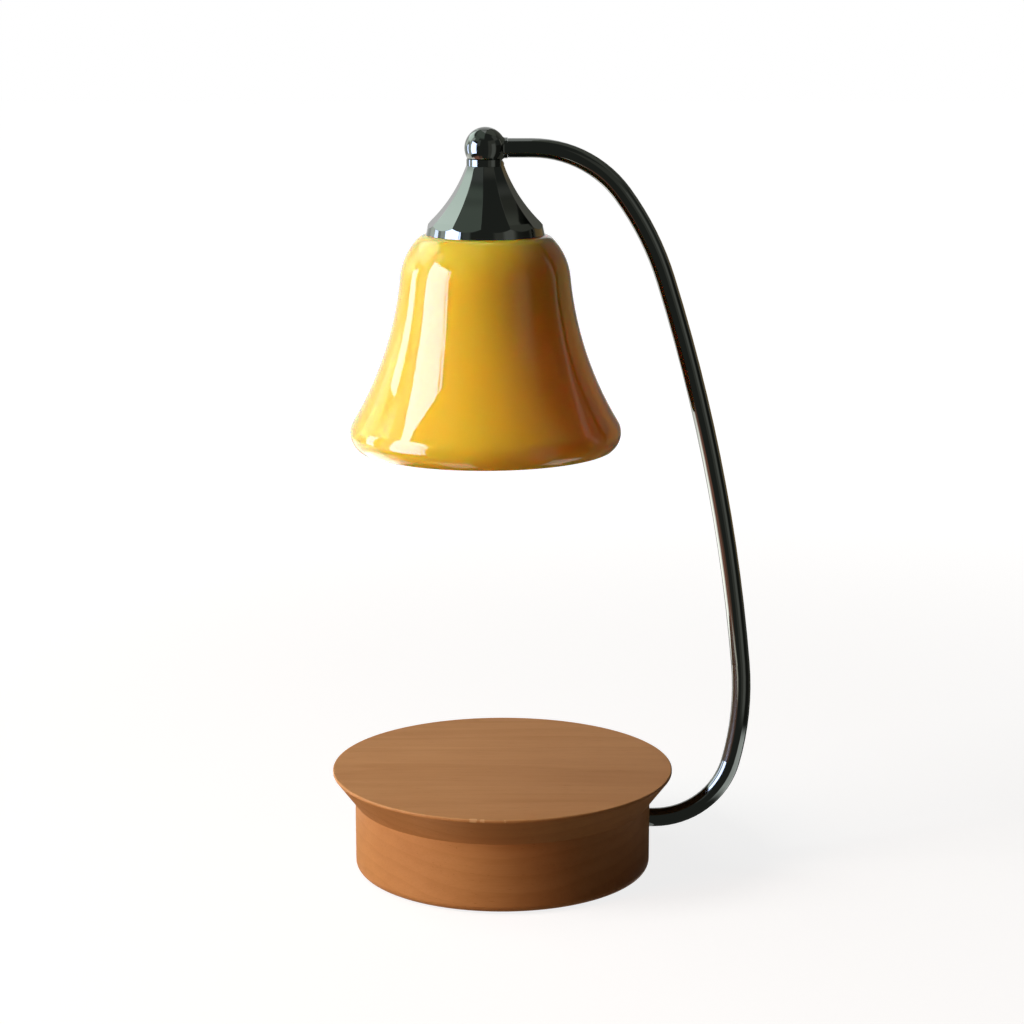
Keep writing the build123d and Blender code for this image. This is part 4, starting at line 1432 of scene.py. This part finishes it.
@dataclass(frozen=True)
class RoomPatch:
    """A soft-edged patch of the reflected room.

    Attributes:
        glow: Its brightness in red, green and blue.
        azimuths: Where it starts and ends.
        elevations: Its foot and its top.
        softness: Half the width of its edges, in degrees.
    """

    glow: Colour
    azimuths: Span
    elevations: Span
    softness: float

    def mask(self, tree: ShaderTree, azimuth: Socket, elevation: Socket) -> Socket:
        """Returns how strongly the patch covers a direction.

        Args:
            tree: The room's shader tree.
            azimuth: The direction's azimuth in degrees.
            elevation: The direction's elevation in degrees.

        Returns:
            The cover, from 0 to 1.
        """
        soft = self.softness
        covers = []
        for value, (low, high) in ((azimuth, self.azimuths), (elevation, self.elevations)):
            past_low = tree.remap(value, low - soft, low + soft)
            below_high = tree.remap(value, high + soft, high - soft)
            covers.append(tree.times(past_low, below_high))
        return tree.times(*covers)


@dataclass(frozen=True)
class ReflectedRoom:
    """Walls, ceiling and table that only glossy surfaces see, open at the back.

    Attributes:
        patches: Its patches, each laid over the ones before.
        shade: Its brightness where no patch lies.
        closed: Azimuths between which it has walls; behind them it is open.
        radius: Distance of its walls.
        top: Elevation where its walls end overhead.
        table_from: Distance from the base's axis where its table starts.
        table_height: Height of its table above the floor.
        columns: Faces round it.
        rows: Faces up its walls.
    """

    name: ClassVar[str] = "reflected_room"
    patches: tuple[RoomPatch, ...]
    shade: Colour = (0.085, 0.090, 0.083)
    closed: Span = (-152.0, 167.0)
    radius: float = 3.4
    top: float = 89.9
    table_from: float = 0.0665
    table_height: float = 0.0012
    columns: int = 48
    rows: int = 20

    def shell(self) -> bmesh.types.BMesh:
        """Builds the table and the walls, from the table's inner edge to the top.

        Returns:
            The open shell.
        """
        made = bmesh.new()
        start, end = self.closed
        count = self.columns
        lift = Vector((0.0, 0.0, self.table_height))
        azimuths = [start + (end - start) * column / count for column in range(count + 1)]
        levels = [(self.radius, self.top * row / self.rows) for row in range(self.rows + 1)]
        rings = []
        for reach, rise in [(self.table_from, 0.0), *levels]:
            points = [direction(azimuth, rise) * reach + lift for azimuth in azimuths]
            rings.append([made.verts.new(point) for point in points])
        for lower, upper in zip(rings, rings[1:]):
            for column in range(count):
                after = column + 1
                made.faces.new((lower[column], lower[after], upper[after], upper[column]))
        return made

    def build(self, middle: Vector) -> None:
        """Makes the room.

        Args:
            middle: The point that its azimuths and elevations are seen from.
        """
        tree = glossy_card(self.name, self.shell())
        from_middle = tree.vector("SUBTRACT", tree.place(), tuple(middle))
        x, y, z = tree.split(tree.vector("NORMALIZE", from_middle))
        azimuth = tree.math("DEGREES", tree.math("ARCTAN2", x, tree.times(y, -1.0)))
        elevation = tree.math("DEGREES", tree.math("ARCSINE", z))
        glow: Socket | Colour = self.shade
        for patch in self.patches:
            glow = tree.mix(patch.mask(tree, azimuth, elevation), glow, patch.glow)
        tree.emit(glow, 1.0)


@dataclass(frozen=True)
class SoftLamp:
    """A large soft lamp that diffuse surfaces see.

    Attributes:
        name: The lamp's name.
        azimuth: Where it stands round the object.
        elevation: How high it stands.
        distance: Its distance from the object.
        size: Its width and height.
        level: Brightness that it gives a white surface square to it, where 1 is white.
        colour: Its colour.
    """

    name: str
    azimuth: float
    elevation: float
    distance: float
    size: Span
    level: float
    colour: Colour

    def build(self, middle: Vector) -> None:
        """Makes the lamp.

        Args:
            middle: The point that it looks at.
        """
        light = bpy.data.lights.new(self.name, "AREA")
        light.shape = "RECTANGLE"
        light.size, light.size_y = self.size
        light.energy = self.level * math.pi**2 * self.distance**2
        light.color = self.colour
        lamp = bpy.data.objects.new(self.name, light)
        towards = direction(self.azimuth, self.elevation)
        lamp.location = middle + towards * self.distance
        lamp.rotation_mode = "QUATERNION"
        lamp.rotation_quaternion = towards.to_track_quat("Z", "Y")
        lamp.visible_glossy = False
        lamp.visible_camera = False
        bpy.context.scene.collection.objects.link(lamp)


@dataclass(frozen=True)
class Studio:
    """Floor, world, lamps and reflected cards.

    Attributes:
        middle: The point that the lights look at.
        white: Colour of the background.
        ambient: Light that comes from all round to diffuse surfaces.
        floor_size: Length of the floor's side.
        floor_cells: Faces along the floor's side.
        floor_colour: Colour of the floor, in which the object's shadow lies.
        floor_glow: Light that the floor adds near the object and far from it, to look white.
        floor_fade: Distances from the object between which that light grows.
        lamps: The lamps.
        room: The reflected room.
        panels: The reflected windows.
    """

    middle: Point = (0.0, 0.0, 0.22)
    white: Colour = (1.0, 1.0, 1.0)
    ambient: Colour = (0.010, 0.008, 0.006)
    floor_size: float = 12.0
    floor_cells: int = 4
    floor_colour: Colour = (0.30, 0.293, 0.286)
    floor_glow: Span = (0.83, 1.0)
    floor_fade: Span = (0.25, 1.1)
    lamps: tuple[SoftLamp, ...] = (
        SoftLamp("window_side_lamp", -72.0, 26.0, 1.5, (0.6, 0.9), 0.79, (1.0, 1.0, 0.97)),
        SoftLamp("warm_side_lamp", -56.0, 12.0, 1.6, (0.5, 0.9), 0.34, (1.0, 0.42, 0.18)),
        SoftLamp("overhead_lamp", -110.0, 60.0, 1.6, (0.9, 0.9), 0.18, (0.97, 1.0, 0.97)),
        SoftLamp("fill_lamp", 45.0, 10.0, 1.6, (1.0, 1.0), 0.014, (1.0, 0.34, 0.15)),
    )
    room: ReflectedRoom = ReflectedRoom(
        (
            RoomPatch((0.36, 0.42, 0.37), (-190.0, -8.0), (55.0, 100.0), 8.0),
            RoomPatch((0.30, 0.31, 0.27), (84.0, 190.0), (46.0, 100.0), 6.0),
            RoomPatch((0.95, 1.0, 0.95), (-149.0, -98.0), (-10.0, 24.0), 3.0),
            RoomPatch((1.0, 1.0, 0.97), (-190.0, -149.0), (-10.0, 18.0), 3.0),
            RoomPatch((2.1, 2.25, 2.1), (-136.0, -117.0), (4.0, 24.0), 3.0),
            RoomPatch((3.0, 3.4, 3.25), (-149.0, -98.0), (22.0, 46.0), 4.0),
            RoomPatch((1.9, 2.05, 2.0), (-190.0, -149.0), (18.0, 48.0), 4.0),
            RoomPatch((0.34, 0.40, 0.35), (-97.0, -47.0), (36.0, 56.0), 3.0),
            RoomPatch((1.5, 1.6, 1.55), (-97.0, -76.0), (34.0, 45.0), 2.0),
            RoomPatch((0.28, 0.30, 0.29), (-47.0, -30.0), (15.0, 45.0), 3.0),
            RoomPatch((1.7, 1.8, 1.75), (-98.0, -84.0), (-20.0, 36.0), 2.0),
            RoomPatch((2.4, 2.35, 2.25), (-190.0, -99.0), (-54.0, -12.0), 4.0),
            RoomPatch((6.2, 6.0, 5.8), (-152.0, -100.0), (-52.0, -30.0), 3.0),
            RoomPatch((3.2, 2.7, 2.6), (-100.0, -83.0), (-54.0, -29.0), 3.0),
            RoomPatch((1.05, 0.44, 0.32), (-82.0, -44.0), (-54.0, -29.0), 4.0),
            RoomPatch((0.50, 0.25, 0.18), (-43.0, -22.0), (-52.0, -31.0), 4.0),
            RoomPatch((2.3, 2.2, 2.0), (-48.0, -16.0), (-84.0, -46.0), 3.0),
            RoomPatch((0.20, 0.20, 0.18), (18.0, 66.0), (-40.0, 42.0), 4.0),
            RoomPatch((0.42, 0.42, 0.40), (38.0, 60.0), (-39.0, 24.0), 4.0),
            RoomPatch((0.045, 0.045, 0.04), (64.0, 98.0), (-41.0, 14.0), 2.5),
            RoomPatch((0.26, 0.26, 0.24), (64.0, 98.0), (36.0, 60.0), 4.0),
            RoomPatch((0.14, 0.14, 0.12), (99.0, 138.0), (-38.0, 46.0), 3.0),
            RoomPatch((0.21, 0.21, 0.18), (118.0, 190.0), (-12.0, 46.0), 5.0),
            RoomPatch((0.46, 0.31, 0.14), (116.0, 150.0), (-14.0, 11.0), 4.0),
            RoomPatch((0.55, 0.52, 0.46), (104.0, 110.0), (-3.0, 30.0), 1.5),
            RoomPatch((1.7, 1.75, 1.75), (63.0, 104.0), (-61.0, -43.0), 2.5),
        )
    )
    panels: tuple[ReflectedPanel, ...] = (
        ReflectedPanel(
            "tall_window_card",
            (0.55, 0.62, 0.95),
            15.0,
            (
                (-53.4, -17.0),
                (-53.4, 29.4),
                (-62.0, 31.2),
                (-73.0, 33.2),
                (-84.0, 34.4),
                (-84.0, -17.0),
            ),
        ),
        ReflectedPanel(
            "window_edge_card",
            (0.55, 0.62, 0.95),
            12.0,
            ((-49.5, -17.0), (-49.5, 28.6), (-52.4, 29.2), (-52.4, -17.0)),
        ),
        ReflectedPanel(
            "narrow_window_card",
            (0.6, 0.66, 0.92),
            9.0,
            ((-104.3, -12.0), (-104.3, 18.0), (-115.6, 12.6), (-115.6, -12.0)),
        ),
    )

    def build(self) -> None:
        """Makes the whole studio and sets the scene's view."""
        self.world()
        self.floor()
        for part in (*self.lamps, self.room, *self.panels):
            part.build(Vector(self.middle))
            LOG.info("studio: %s", part.name)
        bpy.context.scene.view_settings.view_transform = "Standard"

    def shown_rays(self, tree: ShaderTree) -> Socket:
        """Returns 1 for camera, glossy and transmission rays, and 0 for the others.

        Args:
            tree: The tree of the world or the floor.

        Returns:
            The value.
        """
        path = tree.add("LightPath")
        seen = tree.math("MAXIMUM", path.outputs["Is Camera Ray"], path.outputs["Is Glossy Ray"])
        return tree.math("MAXIMUM", seen, path.outputs["Is Transmission Ray"])

    def world(self) -> None:
        """Makes a world that looks white and lights the object softly."""
        world = bpy.data.worlds.new("studio_world")
        bpy.context.scene.world = world
        tree = ShaderTree.blank(world)
        colour = tree.mix(self.shown_rays(tree), self.ambient, self.white)
        background = tree.add("Background", {"Color": colour, "Strength": 1.0})
        tree.add("OutputWorld", {"Surface": background.outputs[0]})

    def floor(self) -> None:
        """Makes a pale floor that looks white and keeps the object's shadow."""
        made = bmesh.new()
        cells = self.floor_cells
        bmesh.ops.create_grid(made, x_segments=cells, y_segments=cells, size=self.floor_size / 2)
        material = bpy.data.materials.new("floor_white")
        floor = place_mesh("floor", made, material)
        tree = ShaderTree.blank(material)
        away = tree.vector("LENGTH", tree.place())
        spread = tree.remap(away, *self.floor_fade, self.floor_glow)
        level = tree.times(self.shown_rays(tree), spread)
        matt = tree.add("BsdfDiffuse", {"Color": self.floor_colour})
        glow = tree.add("Emission", {"Color": self.white, "Strength": level})
        both = tree.add("AddShader", {0: matt.outputs[0], 1: glow.outputs[0]})
        tree.add("OutputMaterial", {"Surface": both.outputs[0]})


@dataclass(frozen=True)
class Camera:
    """The camera, level across and looking slightly down.

    Attributes:
        place: Where it stands.
        pitch: How far it looks down, in degrees.
        lens: Its focal length in millimetres.
        sensor: The width of its sensor in millimetres.
        clip: The nearest and the farthest distance that it sees.
    """

    place: Point = (0.0041, -1.0824, 0.3871)
    pitch: float = 12.04
    lens: float = 92.06
    sensor: float = 36.0
    clip: Span = (0.01, 60.0)

    def build(self) -> None:
        """Makes the camera and gives it to the scene."""
        data = bpy.data.cameras.new("camera")
        data.lens = self.lens
        data.sensor_width = self.sensor
        data.clip_start, data.clip_end = self.clip
        camera = bpy.data.objects.new("camera", data)
        bpy.context.scene.collection.objects.link(camera)
        tilt = Matrix.Rotation(math.radians(90.0 - self.pitch), 4, "X")
        camera.matrix_world = Matrix.Translation(self.place) @ tilt
        bpy.context.scene.camera = camera


def main() -> None:
    """Builds the lamp's looks and the studio."""
    logging.basicConfig(level=logging.INFO, format="%(name)s %(message)s")
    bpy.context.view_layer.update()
    for part in (Base(), Arm(), Knuckle(), Cup(), Head(), Bulb()):
        part.build()
    Studio().build()
    Camera().build()


if __name__ == "__main__":
    main()
